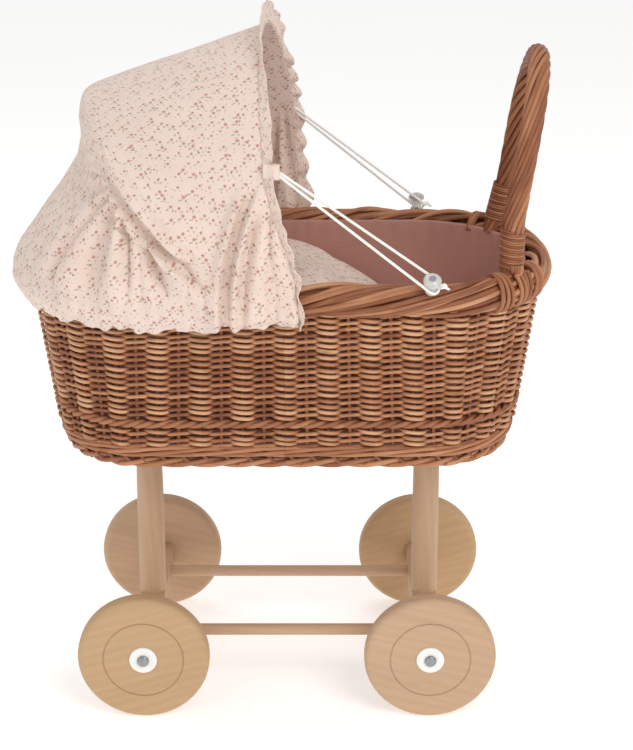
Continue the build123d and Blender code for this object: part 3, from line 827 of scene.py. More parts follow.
along, across = 12.0, 150.0
pale, tan = rgb(203, 171, 132), rgb(181, 146, 108)
rosy, brown = rgb(208, 176, 144), rgb(184, 150, 119)
beech_wheel = beech("beech_wheel", (along, across, across), pale, tan, 0.35)
beech_wheel_rosy = beech("beech_wheel_rosy", (along, across, across), rosy, brown, -0.2)
beech_post = beech("beech_post", (across, across, along), rosy, brown)
beech_beam = beech("beech_beam", (across, along, across), pale, brown)
beech_rail = beech("beech_rail", (along, across, across), rosy, brown)
bow_wood = beech("bow_wood", (along, along, across), rgb(214, 182, 138), rgb(176, 132, 88))


def dress(material, *names):
    """Gives CAD nodes a finish."""
    for name in names:
        slots = nodes[name].data.materials
        slots.clear()
        slots.append(material)


for end in ("front", "rear"):
    dress(beech_post, f"post_{end}")
    dress(beech_beam, f"axle_beam_{end}")
    dress(bow_wood, f"hood_bow_{end}")
dress(beech_wheel, "wheel_front_left", "wheel_rear_right")
dress(beech_wheel_rosy, "wheel_front_right", "wheel_rear_left")
dress(beech_rail, "side_rail_left", "side_rail_right")

# %% [markdown]
# ## Plywood, plastic and steel
# The board in the basket is thin birch plywood, whose plies show at its edge. The hub bushes are
# moulded white plastic, with the faint clouding of a cheap moulding. Screws, bolts and washers
# are zinc plated: a soft grey shine with a bluish bloom. The cord knobs are clear plastic that
# looks silvery, over a grey screw.

# %% Small hard finishes
ply = 1.25 * mm


def paint_plywood(wire):
    spot = place(wire)
    height = spot.part(2)
    layer = (height.math("SINE", height * (2 * math.pi / (2 * ply))) > 0.0)
    grain = spot.stretched((12, 160, 160)).noise(1.0, 3.0)
    return {"Base Color": (layer * 0.4 + grain * 0.6).mixed(rgb(190, 158, 116), rgb(224, 200, 162)),
            "Roughness": grain * 0.2 + 0.55, "height": grain, "depth": 0.1 * mm}


def paint_plastic(wire):
    spot = place(wire)
    cloud = spot.noise(120.0, 2.0)
    return {"Base Color": cloud.mixed(rgb(236, 234, 230), rgb(250, 249, 247)),
            "Roughness": spot.noise(900.0, 2.0) * 0.15 + 0.28, "height": cloud, "depth": 0.05 * mm}


def paint_zinc(wire):
    spot = place(wire)
    bloom, scratch = spot.noise(260.0, 3.0), spot.stretched((1, 1, 6)).noise(900.0, 2.0)
    return {"Base Color": bloom.mixed(rgb(128, 132, 138), rgb(176, 178, 182)),
            "Roughness": scratch * 0.25 + bloom * 0.15 + 0.18, "height": scratch, "depth": 0.03 * mm}


def paint_knob(wire):
    spot = place(wire)
    swirl = spot.noise(220.0, 2.0)
    return {"Base Color": swirl.mixed(rgb(222, 222, 218), rgb(244, 243, 238)),
            "Roughness": swirl * 0.15 + 0.08, "height": swirl, "depth": 0.05 * mm}


plywood = finish("plywood", paint_plywood)
white_plastic = finish("white_plastic", paint_plastic, Coat_Weight=0.15)
zinc = finish("zinc_steel", paint_zinc, Metallic=1.0)
clear_knob = finish("clear_knob", paint_knob, Transmission_Weight=0.35, IOR=1.49, Coat_Weight=0.3)
dress(plywood, "base_board")
dress(white_plastic, *[n for n in nodes if n.startswith("wheel_bush")])
dress(zinc, "post_screws", "axle_screws", "wheel_washers", "hood_pivot_bolts", "hood_pivot_nuts",
      "hood_pivot_washers", "cord_knob_screws")
dress(clear_knob, "cord_knob_left", "cord_knob_right")
print("hard finishes", [m.name for m in (plywood, white_plastic, zinc, clear_knob)])

# %% [markdown]
# ## Printed cotton
# The hood, its frill and the quilt are one light cotton, printed with small rose sprigs. Each
# sprig is a flower with a lobed edge and a dark eye, two leaves beside it and stray buds
# between. Scattered points of a flat Voronoi pattern say where the sprigs are. The pattern reads
# a coordinate stored on the cloth, which says where each point was before the cloth was sewn,
# so the print has one size everywhere and bends with the folds.

# %% Print finish
sprig_pitch, bud_pitch, yarn = 7.4 * mm, 5.4 * mm, 0.42 * mm


def weave_height(spot, scale=1.0):
    """A plain weave's threads, as a height from 0 to 1."""
    size = 2 * math.pi / (yarn * scale)
    x, y = spot.part(0), spot.part(1)
    return x.math("SINE", x * size) * x.math("SINE", y * size) * 0.5 + 0.5


def sprig(spot, pitch, reach, lobes, shift=(0, 0, 0), long=(1, 1, 1)):
    """A mask of lobed spots at scattered points of the cloth."""
    moved = spot.vector("ADD", shift)
    centre = moved.speckle(1 / pitch, "Position", True, 0.85)
    off = moved.vector("SUBTRACT", centre).stretched(long)
    x, y = off.part(0), off.part(1)
    distance = off.vector("LENGTH", output="Value")
    chosen = moved.speckle(1 / pitch, "Color", True, 0.85)
    luck = chosen.node("ShaderNodeSeparateColor", None, {"Color": chosen})
    petals = x.math("COSINE", x.math("ARCTAN2", y, x) * lobes + luck * 6.3) * 0.22 + 1.0
    edge = petals * (luck * 0.5 + 0.75) * reach
    return 1.0 - (distance - edge).blur(-0.25 * mm, 0.25 * mm), distance, luck


def paint_print(wire):
    cloth = stored(wire, "print")
    ragged = cloth.noise(900.0, 2.0, output="Color")
    cloth = ragged.vector("MULTIPLY_ADD", (0.9 * mm,) * 3, cloth)
    flower, distance, luck = sprig(cloth, sprig_pitch, 1.05 * mm, 5)
    leaf_one, _, luck_one = sprig(cloth, sprig_pitch, 0.72 * mm, 2, (2.3 * mm, 2.1 * mm, 0), (0.7, 1.15, 1))
    leaf_two, _, _ = sprig(cloth, sprig_pitch, 0.62 * mm, 2, (-1.4 * mm, 2.6 * mm, 0), (1.15, 0.7, 1))
    bud, _, luck_bud = sprig(cloth, bud_pitch, 0.6 * mm, 3, (3.3 * mm, 7.9 * mm, 0))
    ground = cloth.noise(35.0, 3.0).mixed(rgb(227, 206, 194), rgb(238, 219, 207))
    leaves = luck_one.mixed(rgb(150, 148, 128), rgb(172, 156, 138))
    ground = ((leaf_one + leaf_two).clamp() * 0.85).mixed(ground, leaves)
    ground = (bud * 0.85).mixed(ground, luck_bud.mixed(rgb(214, 142, 130), rgb(168, 160, 140)))
    petals = luck.mixed(rgb(172, 112, 102), rgb(196, 142, 128))
    petals = (1.0 - distance.blur(0.15 * mm, 0.7 * mm)).mixed(petals, rgb(164, 84, 78))
    threads = weave_height(cloth)
    return {"Base Color": (flower * 0.9).mixed(ground, petals), "Roughness": threads * 0.1 + 0.8,
            "height": threads, "depth": 0.06 * mm}


print_cotton = finish("floral_cotton", paint_print, Sheen_Weight=0.15, Sheen_Roughness=0.5,
                      Specular_IOR_Level=0.25, Subsurface_Weight=0.12, Subsurface_Radius=(1.0, 0.6, 0.4),
                      Subsurface_Scale=2 * mm)

# %% [markdown]
# ## The hood
# The hood is one cloth, stretched over two bentwood bows and gathered by elastic under the rim.
# Its shape comes from arches: one at the front edge, one over the rear bow and one that lies
# flat round the end of the rim. The cloth is a grid between them, and a skirt joins its three
# other sides, so the mesh is one sheet without a seam. Then it is treated as cloth: rounded over
# the bow, slack behind it, with folds that fan out to the rim and pleats beside the front edge.

# %% Arches
pivot = np.array([-41, 341]) * mm
rear_angle = math.radians(130.8)
arch_steps, front_steps, back_steps = 300, 104, 90
arch_share = np.linspace(-1, 1, arch_steps + 1)


def arch(foot_point, rise, radius, reach, foot, share=arch_share):
    """Points of an upright arch, two legs and a half round, from the left foot to the right."""
    leg = reach - radius
    total = leg - foot + math.pi / 2 * radius
    run = (1 - np.abs(share)) * total
    bend = np.clip((run - (leg - foot)) / radius, 0, None)
    height = np.where(run < leg - foot, foot + run, leg + radius * np.sin(bend))
    rise = np.array(rise) / np.hypot(*rise)
    middle = np.array(foot_point) + height[:, None] * rise
    return np.stack([middle[:, 0], np.sign(share) * radius * np.cos(bend), middle[:, 1]], 1)


def leaning(angle):
    return (math.cos(angle), math.sin(angle))


edge_foot, edge_top = np.array([9, 345.5]) * mm, np.array([-11, 513]) * mm
edge_reach = math.dist(edge_foot, edge_top)
front_arch = arch(edge_foot, edge_top - edge_foot, 117.1 * mm, edge_reach, 0)
rear_arch = arch(pivot, leaning(rear_angle), 115.8 * mm, 164.6 * mm, 12 * mm)
back_arch = arch(pivot, leaning(math.pi), 117.5 * mm, 162 * mm, 12 * mm)


def smooth_step(value, low, high):
    t = np.clip((np.asarray(value) - low) / (high - low), 0, 1)
    return t * t * (3 - 2 * t)


# %% The cloth's grid
front_rows = [front_arch + (rear_arch - front_arch) * t
              for t in np.linspace(0, 1, front_steps, endpoint=False)]
back_rows = [rear_arch + (back_arch - rear_arch) * t for t in np.linspace(0, 1, back_steps + 1)]
hood_grid = np.array(front_rows + back_rows)
bow_row = front_steps
for _ in range(26):  # round the cloth over the bow
    near = np.exp(-((np.arange(len(hood_grid)) - bow_row) / 10.0) ** 2)[:, None, None]
    mean = (np.roll(hood_grid, 1, 0) + np.roll(hood_grid, -1, 0)) / 2
    mean[0], mean[-1] = hood_grid[0], hood_grid[-1]
    hood_grid = hood_grid + (mean - hood_grid) * near * 0.8

skirt_z = np.array([341, 338, 335, 332, 329.5, 327, 324.5, 322.5, 320.5, 319, 317.8, 316.8]) * mm
skirt_radius = np.interp(skirt_z[::-1], np.array([316.8, 319.5, 323, 329, 335, 341]) * mm,
                         np.array([111.4, 112.8, 116.3, 118.2, 118.4, 117.5]) * mm)[::-1]
border = np.concatenate([hood_grid[:-1, 0], hood_grid[-1], hood_grid[-2::-1, -1]])
back_centre = -85.5 * mm
skirt_rows = []
for z, radius in zip(skirt_z, skirt_radius):
    share = (z - skirt_z[0]) / (skirt_z[-1] - skirt_z[0])
    out = unit(np.stack([np.minimum(border[:, 0] - back_centre, 0), border[:, 1]], 1))
    flat = np.stack([np.maximum(border[:, 0], back_centre), np.zeros(len(border))], 1) + out * radius
    flat[:, 0] += 3 * mm * share * smooth_step(border[:, 0], -30 * mm, 9 * mm)
    z = z + 4.5 * mm * share * smooth_step(border[:, 0], -70 * mm, -10 * mm)
    drop = border[:, 2] + (z - border[:, 2]) * smooth_step(share, -0.35, 0.3)
    skirt_rows.append(np.concatenate([flat, np.minimum(drop, border[:, 2])[:, None]], 1))
skirt_grid = np.array(skirt_rows)
print("hood grid", hood_grid.shape, "skirt", skirt_grid.shape)

# %% Slack behind the bow, and a front edge that has slipped forward on one side
slack_places = [0, 0.1, 0.2, 0.33, 0.5, 0.7, 0.9, 1.0]
slack_depths = np.array([0, 4, 11, 14.5, 11, 5.5, 0.5, 0]) * mm
edge_skew, edge_back = 0.08, 3.5 * mm


def faces_of(rows, columns, flip=False):
    """The quads of a grid of points that is stored row by row."""
    corner = np.arange(rows * columns).reshape(rows, columns)
    quads = np.stack([corner[:-1, :-1], corner[:-1, 1:], corner[1:, 1:], corner[1:, :-1]], -1).reshape(-1, 4)
    return quads[:, ::-1] if flip else quads


def outward_normals(points, faces):
    """Mean normals at the points of a mesh of quads."""
    quad = points[faces]
    flat = np.cross(quad[:, 2] - quad[:, 0], quad[:, 3] - quad[:, 1])
    total = np.zeros_like(points)
    for corner in range(4):
        np.add.at(total, faces[:, corner], flat)
    return unit(total)


front_share = np.clip(np.arange(len(hood_grid)) / front_steps, 0, 1)[:, None]
lifted = smooth_step(hood_grid[..., 2], 350 * mm, 430 * mm) * (1 - front_share) ** 1.5
hood_grid[..., 0] += lifted * (edge_skew * hood_grid[..., 1] - edge_back)

back_share = np.clip((np.arange(len(hood_grid)) - bow_row) / back_steps, 0, 1)
slack = np.interp(back_share, slack_places, slack_depths)[:, None]
crown_share = 0.22 + 0.78 * np.exp(-(arch_share / 0.62) ** 4)[None, :]
slack = slack * crown_share

# %% One mesh from hood and skirt
rows, columns = hood_grid.shape[:2]
corner = np.arange(rows * columns).reshape(rows, columns)
border_index = np.concatenate([corner[:-1, 0], corner[-1], corner[-2::-1, -1]])
skirt_new = skirt_grid[1:]
skirt_index = np.concatenate([border_index[None], rows * columns + np.arange(skirt_new[..., 0].size).reshape(
    skirt_new.shape[:2])])
skirt_faces = np.stack([skirt_index[:-1, :-1], skirt_index[:-1, 1:], skirt_index[1:, 1:],
                        skirt_index[1:, :-1]], -1).reshape(-1, 4)
hood_points = np.concatenate([hood_grid.reshape(-1, 3), skirt_new.reshape(-1, 3)])
hood_faces = np.concatenate([faces_of(rows, columns), skirt_faces])
hood_normals = outward_normals(hood_points, hood_faces)
if np.sum(hood_normals * (hood_points - np.array([-60, 0, 380]) * mm)) < 0:
    hood_faces, hood_normals = hood_faces[:, ::-1], -hood_normals
slack_all = np.concatenate([np.broadcast_to(slack, (rows, columns)).ravel(), np.zeros(skirt_new[..., 0].size)])
hood_points = hood_points - hood_normals * slack_all[:, None]
print("hood cloth", len(hood_points), "points")

# %% Folds and pleats
front_x = 9 * mm
skirt_round = 117.5 * mm
bow_front = np.array([math.sin(rear_angle), -math.cos(rear_angle)])
fan_place = np.array([-105, 428]) * mm
valley_z = np.array([316, 355, 375, 395, 415, 430, 440]) * mm
valley_x = np.array([-42, -40, -36.5, -31, -23.5, -17, -14]) * mm
bow_ridges = ((8.5, -1.0, 2.8), (3.0, 6.0, 6.0), (-6.5, -6.0, 2.4), (7.0, -11.0, 3.2), (-2.0, 19.0, 7.0))
valley_ridges = ((10.0, 5.5, 3.6), (-9.0, 0.0, 2.8), (8.0, -5.5, 4.4))
pleat_count = 2.6
bow_room = 1.9 * mm
front_bow_side = np.array([math.sin(math.radians(83)), -math.cos(math.radians(83))])


def bump(value, middle, width):
    return np.exp(-((value - middle) / width) ** 2)


def ridges(distance, rows):
    """Ridges and grooves along a line. Each has a height, a place and a width in millimetres."""
    return sum(height * mm * bump(distance, place * mm, width * mm) for height, place, width in rows)


def pleat(phase):
    """A wave with broad tops and sharp valleys."""
    return 2 * np.abs(np.sin(phase / 2)) ** 0.75 - 1


def round_the_hem(points):
    """How far a point lies along the hem, from the left front corner round the end to the right."""
    x, y = points[:, 0] - back_centre, points[:, 1]
    turn = np.arctan2(np.maximum(-x, 0), -y)
    straight = np.where(y < 0, front_x - back_centre - np.maximum(x, 0),
                        front_x - back_centre + np.maximum(x, 0))
    return straight + skirt_round * turn


def folds(points):
    """How far the cloth stands out at each point."""
    # A crease along the rear bow, where the cloth is taut.
    x, y, z = points.T
    left = y < 0
    beside = smooth_step(np.abs(y), 70 * mm, 108 * mm)
    from_bow = (x - pivot[0]) * bow_front[0] + (z - pivot[1]) * bow_front[1]
    reach = np.hypot(x - pivot[0], z - pivot[1])
    taut = beside * smooth_step(reach, 26 * mm, 60 * mm) * smooth_step(z, 350 * mm, 380 * mm)
    total = taut * ridges(from_bow, bow_ridges)

    # Folds that fan out below the middle of the rear bow.
    fan_x, fan_z = x - fan_place[0], z - fan_place[1]
    fan_reach, fan_turn = np.hypot(fan_x, fan_z), np.arctan2(fan_z, fan_x)
    behind = smooth_step(-from_bow, 3 * mm, 14 * mm)
    fan = pleat(fan_turn * 20 + np.where(left, 0.6, 2.1)) * 0.7 + 0.4 * np.sin(fan_turn * 11 + 1.0)
    total += (9.0 * mm * (fan + 0.2) * behind * smooth_step(np.abs(y), 45 * mm, 95 * mm)
              * smooth_step(fan_reach, 6 * mm, 46 * mm) * smooth_step(z, 335 * mm, 356 * mm))

    # Small gathers at the hem, and broader ones that rise from them behind the pivot.
    hem = round_the_hem(points)
    low = np.exp(-np.maximum(z - 320 * mm, 0) / (15 * mm))
    gather = np.sin(hem / (1.75 * mm) + 1.8 * np.sin(hem / (31 * mm))) + 0.6 * np.sin(hem / (2.9 * mm) + 1.0)
    total += 1.6 * mm * gather * low
    tall = smooth_step(z, 322 * mm, 334 * mm) * (1 - smooth_step(z, 350 * mm, 402 * mm))
    wide = pleat(hem / (4.6 * mm) + 2.2 * np.sin(hem / (47 * mm)))
    total += 3.2 * mm * (wide + 0.3) * tall * (1 - smooth_step(x, -46 * mm, -34 * mm))

    # Upright pleats beside the front edge, with a deep valley behind them.
    edge_x = np.interp(z, np.array([316, 345, 513]) * mm, np.array([12, 9, -11]) * mm)
    drape = (1 - smooth_step(z, 385 * mm, 436 * mm)) * beside
    valley = np.interp(z, valley_z, valley_x)
    across = np.clip((edge_x - x) / np.maximum(edge_x - valley, 1 * mm), 0, 1.2)
    inside = smooth_step(x, valley + 2 * mm, valley + 9 * mm)
    upright = pleat(2 * math.pi * pleat_count * across + np.where(left, 0.4, 1.7)) * 0.8
    total += drape * inside * 4.6 * mm * (0.35 + upright + 0.5 * np.sin(across * 9 + z / (23 * mm)))
    deep = (1 - smooth_step(z, 398 * mm, 432 * mm)) * beside * np.where(left, 1.0, 0.6)
    total += deep * ridges(x - valley, valley_ridges)

    # Ripples on the crown, and a slow unevenness everywhere.
    crown = smooth_step(z, 420 * mm, 470 * mm)
    ripple = np.sin(y / (7.5 * mm) + 1.5 * np.sin(x / (60 * mm))) * bump(np.abs(y), 84 * mm, 22 * mm)
    total += crown * 0.55 * mm * ripple * smooth_step(x, -150 * mm, -60 * mm)
    slow = np.sin(x / (17 * mm) + 2 * np.sin(z / (29 * mm))) * np.sin(z / (21 * mm) + y / (33 * mm))
    total += 0.7 * mm * slow

    # The hem end keeps its outline, and the cloth stays clear of the bows and the pivot bolts.
    total *= np.where(total > 0, 0.45 + 0.55 * smooth_step(x, -190 * mm, -150 * mm), 1.0)
    from_front_bow = (x - pivot[0]) * front_bow_side[0] + (z - pivot[1]) * front_bow_side[1]
    room = bow_room + 1.6 * mm * smooth_step(np.abs(from_front_bow), 4 * mm, 10 * mm)
    total = np.where(total < 0, -room * np.tanh(-total / room), total)
    over_pivot = bump(reach, 0, 12 * mm) * beside
    return np.maximum(total, 3.2 * mm * over_pivot)


def eased(points, faces, amount, rounds):
    """Moves each point towards the mean of its neighbours, by its own amount."""
    edges = np.concatenate([faces[:, [i, (i + 1) % 4]] for i in range(4)])
    edges = np.concatenate([edges, edges[:, ::-1]])
    count = np.bincount(edges[:, 0], minlength=len(points))[:, None]
    for _ in range(rounds):
        total = np.zeros_like(points)
        np.add.at(total, edges[:, 0], points[edges[:, 1]])
        points = points + (total / count - points) * amount[:, None]
    return points


over_rim = bump(hood_points[:, 2], 343 * mm, 7 * mm) * 0.7
over_rim[hood_points[:, 0] > 0] = 0
hood_points = eased(hood_points, hood_faces, over_rim, 16)
hood_normals = outward_normals(hood_points, hood_faces)
hood_normals[:, 2] *= smooth_step(hood_points[:, 2], 322 * mm, 352 * mm)
hood_points = hood_points + hood_normals * folds(hood_points)[:, None]
hem_run = round_the_hem(hood_points)
hem_wave = (1.5 * mm * np.sin(hem_run / (6.1 * mm))
            + 1.1 * mm * np.sin(hem_run / (2.6 * mm) + 2 * np.sin(hem_run / (19 * mm))))
hood_points[:, 2] += hem_wave * (1 - smooth_step(hood_points[:, 2], 316 * mm, 330 * mm))


# %% The flat print, and how far the cloth follows the bows
front_bow_degrees, rear_bow_degrees, rear_bow_ratio = 83.0, 130.8, 38.5 / 78


def hood_print(points):
    """Where each point lay on the flat cloth."""
    x, y, z = points.T
    side = np.where(y < 0, -1.0, 1.0)
    round_z, radius = 392 * mm, 116 * mm
    over = radius * np.minimum(np.arctan2(np.abs(y), z - round_z), math.pi / 2) + np.maximum(round_z - z, 0)
    from_bow = (x - pivot[0]) * bow_front[0] + (z - pivot[1]) * bow_front[1]
    behind = np.where(z > pivot[1], from_bow < 0, x < pivot[0])
    return np.stack([np.where(behind, front_x - round_the_hem(points), x),
                     np.where(behind, z - round_z - math.pi / 2 * radius, side * over), 0 * x], 1)


def follow(points):
    """0 where the cloth stays with the basket and 1 where it turns with the front bow. Near the
    rear bow it is level, so that the cloth stays clear of the bow when the hood is folded."""
    x, z = points[:, 0] - pivot[0], points[:, 2] - pivot[1]
    angle = np.degrees(np.arctan2(z, x))
    stops = [front_bow_degrees, front_bow_degrees + 7, rear_bow_degrees - 3, rear_bow_degrees + 7, 180]
    turned = np.interp(angle, stops, [1, 0.87, rear_bow_ratio, rear_bow_ratio, 0])
    return turned * smooth_step(points[:, 2], 345 * mm, 392 * mm)


def settled(thing):
    """The piece's mesh with its modifiers applied."""
    graph = bpy.context.evaluated_depsgraph_get()
    mesh = bpy.data.meshes.new_from_object(thing.evaluated_get(graph), preserve_all_data_layers=True,
                                           depsgraph=graph)
    thing.modifiers.clear()
    thing.data = mesh
    return thing


def corners_of(thing):
    co = np.zeros(len(thing.data.vertices) * 3, np.float32)
    thing.data.vertices.foreach_get("co", co)
    return co.reshape(-1, 3).astype(float)


def thicken(thing, thickness, offset=-1.0):
    shell = thing.modifiers.new("thickness", "SOLIDIFY")
    shell.thickness, shell.offset, shell.use_even_offset = thickness, offset, False
    return settled(thing)


def fold_with_hood(thing):
    """Bakes a piece's place into its mesh and works out how far each point would turn with the front bow. The
    weights are not used, so the piece does not bend.
    """
    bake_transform(thing)
    weights = follow(corners_of(thing)).astype(np.float32)


cloth_thickness = 0.9 * mm
hood = piece("hood_cloth", hood_points, hood_faces.tolist(), print_cotton, None, "floral_cotton",
             ["hood_cover_front", "hood_cover_rear", "hood_skirt"])
carry(hood, "print", hood_print(hood_points), "FLOAT_VECTOR")
thicken(hood, cloth_thickness)
fold_with_hood(hood)
print("hood", len(hood.data.vertices), "points")

# %% [markdown]
# ## The frill
# A gathered strip is sewn to the hood's front edge. It stands up over the crown and flares at
# the sides, and its seam is the edge row of the hood's own mesh. Gathering makes a strip wave
# to and fro, more at its free edge than at its seam, so the grid is pushed along its own normal
# by a wave that grows towards the edge.

# %% Frill
frill_steps, frill_rows, ruffle_pitch = 720, 11, 21 * mm
frill_share = np.linspace(-1, 1, frill_steps + 1)
hood_edge = hood_points[np.concatenate([skirt_index[:0:-1, 0], corner[0], skirt_index[1:, -1]])]
edge_run = np.concatenate([[0], np.cumsum(np.linalg.norm(np.diff(hood_edge, axis=0), axis=1))])
root = np.stack([np.interp(np.linspace(0, edge_run[-1], frill_steps + 1), edge_run, hood_edge[:, axis])
                 for axis in range(3)], 1)
left_side = root[:, 1] < 0
frill_levels = np.array([324, 350, 375, 400, 433, 470]) * mm
forward = np.where(left_side, np.interp(root[:, 2], frill_levels, np.array([1, 3, 4, 6, 7, 8]) * mm),
                   np.interp(root[:, 2], frill_levels, np.array([3, 11, 8, 6, 6, 5]) * mm))
crown_up = smooth_step(root[:, 2], 462 * mm, 512 * mm)
frill_offset = np.stack([forward * (1 - crown_up),
                         np.sign(root[:, 1]) * (1 - crown_up) * np.where(left_side, 5.0, 4.5) * mm,
                         crown_up * 15.5 * mm], 1)
edge = root + frill_offset
frill_run = np.concatenate([[0], np.cumsum(np.linalg.norm(np.diff(root, axis=0), axis=1))])
ruffle_chance = np.random.default_rng(51)
ruffle_drift = np.interp(frill_share, np.linspace(-1, 1, 24), ruffle_chance.random(24))
ruffle_phase = 2 * math.pi * frill_run / ruffle_pitch + 5 * ruffle_drift
calm_left = np.interp(root[:, 2], frill_levels, [0.9, 0.7, 0.4, 0.22, 0.15, 0.12])
calm = 0.12 + 0.88 * smooth_step(np.abs(frill_share), 0.1, 0.34) * np.where(left_side, calm_left, 1.15)
frill_grid = []
for t in np.linspace(0, 1, frill_rows):
    row = root + (edge - root) * t
    frill_grid.append(row + (edge - root) * (0.16 * t * np.cos(ruffle_phase + 0.6) * calm)[:, None])
frill_grid = np.array(frill_grid)
frill_points = frill_grid.reshape(-1, 3)
frill_faces = faces_of(frill_rows, frill_steps + 1)
frill_normals = outward_normals(frill_points, frill_faces)
ruffle = np.stack([2.9 * mm * t ** 1.2 * calm * np.sin(ruffle_phase + 0.5 * t)
                   + 0.5 * mm * np.sin(ruffle_phase * 2.3) * (1 - t)
                   for t in np.linspace(0, 1, frill_rows)]).ravel()
frill_points = frill_points + frill_normals * ruffle[:, None]
frill = piece("hood_frill_cloth", frill_points, frill_faces.tolist(), print_cotton, None,
              "floral_cotton", ["hood_frill"])
frill_flat = np.stack([np.tile(frill_run * 1.35, frill_rows),
                       np.repeat(np.linspace(0, 16 * mm, frill_rows), frill_steps + 1),
                       np.zeros(len(frill_points))], 1)
carry(frill, "print", frill_flat + np.array([3.0, 1.7, 0]), "FLOAT_VECTOR")
thicken(frill, 0.7 * mm, 0.0)
fold_with_hood(frill)

# %% Hem elastic
hem_radius, hem_z, hem_front = 109.5 * mm, 319.3 * mm, 8 * mm
hem_turn = np.linspace(0, math.pi, 90)
hem_line = np.concatenate([
    np.stack([np.linspace(hem_front, back_centre, 40)[:-1], np.full(39, -hem_radius),
              np.full(39, hem_z)], 1),
    np.stack([back_centre - hem_radius * np.sin(hem_turn), -hem_radius * np.cos(hem_turn),
              np.full(90, hem_z)], 1),
    np.stack([np.linspace(back_centre, hem_front, 40)[1:], np.full(39, hem_radius),
              np.full(39, hem_z)], 1)])
hem_line[:, 2] += 4.5 * mm * smooth_step(hem_line[:, 0], -70 * mm, -10 * mm)
bundle("hem_elastic_band", [(hem_line, 1.3 * mm, 0.5)], elastic, "pram", "white_elastic",
       ["hem_elastic"])

# %% [markdown]
# ## Cloth tabs for the cords
# A short strip of the same cotton is folded round the end of each cord and sewn flat to the
# hood's side. It is drawn as a path that runs forward, turns round the cord and comes back,
# given a width up and down, then thickened.

# %% Tabs
tab_width, tab_length, tab_turn = 10.4 * mm, 9 * mm, 2.2 * mm
tab_columns = 9
tab_run = np.linspace(0, 1, 13)[:-1]
tab_bend = np.linspace(-math.pi / 2, math.pi / 2, 15)
tab_back = tab_run + 1 / 12
tab_along = np.concatenate([-tab_length * (1 - tab_run), tab_turn * np.cos(tab_bend),
                            -tab_length * tab_back])
tab_outward = np.concatenate([np.full(12, -tab_turn), tab_turn * np.sin(tab_bend),
                              tab_turn - (2 * tab_turn - 0.9 * mm) * smooth_step(tab_back, 0, 0.8)])
for name, side in SIDES.items():
    up = np.linspace(-tab_width / 2, tab_width / 2, tab_columns)
    pucker = 0.25 * mm * np.sin(up / (1.1 * mm)) * smooth_step(-tab_along[:, None], 4 * mm, tab_length)
    strip = np.stack([cord_start[0] + tab_along[:, None] + 0 * up,
                      side * (cord_start[1] + tab_outward[:, None] + pucker),
                      cord_start[2] + 0 * tab_along[:, None] + up], -1)
    strip_points = strip.reshape(-1, 3)
    tab = piece(f"cord_tab_{name}", strip_points, faces_of(len(tab_along), tab_columns).tolist(),
                print_cotton, None, "floral_cotton", ["cord_tabs"])
    carry(tab, "print", strip_points[:, [0, 2, 1]] * np.array([1, 1, 0]) + 0.5, "FLOAT_VECTOR")
    thicken(tab, 0.7 * mm, 0.0)
    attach(tab, "hood_front")

# %% [markdown]
# ## The lining
# A plain rose cotton lining hangs inside the basket. It is sewn round its top to the rim and
# lies slack against the weaving, so it has long soft waves and small gathers near its seam. Its
# walls and floor are rings of points on the oval plan, drawn in towards the middle of the floor.

# %% Rose cotton finish


def paint_lining(wire):
    spot = place(wire)
    cloud = spot.noise(14.0, 3.0)
    turned = spot.node("ShaderNodeVectorRotate", {"rotation_type": "X_AXIS"}, {"Vector": spot, "Angle": 0.9})
    threads = weave_height(turned, 1.3)
    slub = spot.stretched((60, 60, 900)).noise(1.0, 3.0)
    return {"Base Color": (cloud * 0.6 + slub * 0.4).mixed(rgb(174, 126, 115), rgb(198, 150, 138)),
            "Roughness": slub * 0.15 + 0.78, "height": threads * 0.5 + slub, "depth": 0.1 * mm}


rose_cotton = finish("plain_lining", paint_lining, Sheen_Weight=0.25, Sheen_Roughness=0.4,
                     Specular_IOR_Level=0.2)

# %% Lining cloth
lining_low, lining_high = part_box("basket_lining")
lining_foot, lining_top = np.array([163.5, 78.5, 62]) * mm, np.array([177, 88.5, 80]) * mm
lining_floor = lining_low.z + 1.3 * mm
lining_columns = 360
lining_share = np.arange(lining_columns) / lining_columns
lining_wave = wave_noise(lining_share, 9, 1.0 * mm, np.random.default_rng(61))
lining_gather = np.sin(2 * math.pi * 74 * lining_share + 9 * lining_wave / mm)


def lining_row(z):
    rise = np.clip((z - lining_low.z) / (lining_high.z - lining_low.z), 0, 1.04)
    plan = lining_foot + (lining_top - lining_foot) * rise
    slackness = math.sin(math.pi * min(rise, 1)) * 1.3
    top = smooth_step(z, 318 * mm, 339 * mm)
    inset = lining_wave * slackness + 0.45 * mm * lining_gather * top + 0.5 * mm
    corner_round = 7 * mm * (1 - smooth_step(z, lining_floor, lining_floor + 12 * mm)) ** 2
    return ring_at(plan, lining_share, z, inset + corner_round)


levels = np.concatenate([[342.0, 341.2], np.linspace(340, 226, 30),
                         [222, 218.5, 215.5, 213.6, 212.9]]) * mm
lining_grid = [lining_row(z) for z in levels]
lining_grid[0] = lining_grid[1] * np.array([1.006, 1.012, 1.0])
inner = lining_grid[-1]
for share in (0.88, 0.7, 0.5, 0.3, 0.12):
    row = inner * np.array([share, share, 1])
    row[:, 2] = lining_floor + 0.3 * mm * np.sin(row[:, 0] / (23 * mm)) * np.sin(row[:, 1] / (19 * mm))
    lining_grid.append(row)
lining_grid = np.array(lining_grid)
lining_points = np.concatenate([lining_grid.reshape(-1, 3), [[0, 0, lining_floor]]])
wrap = np.concatenate([np.arange(lining_columns), [0]])
index = (np.arange(len(lining_grid))[:, None] * lining_columns + wrap)
lining_quads = np.stack([index[:-1, :-1], index[1:, :-1], index[1:, 1:], index[:-1, 1:]], -1)
lining_quads = lining_quads.reshape(-1, 4).tolist()
last = (len(lining_grid) - 1) * lining_columns
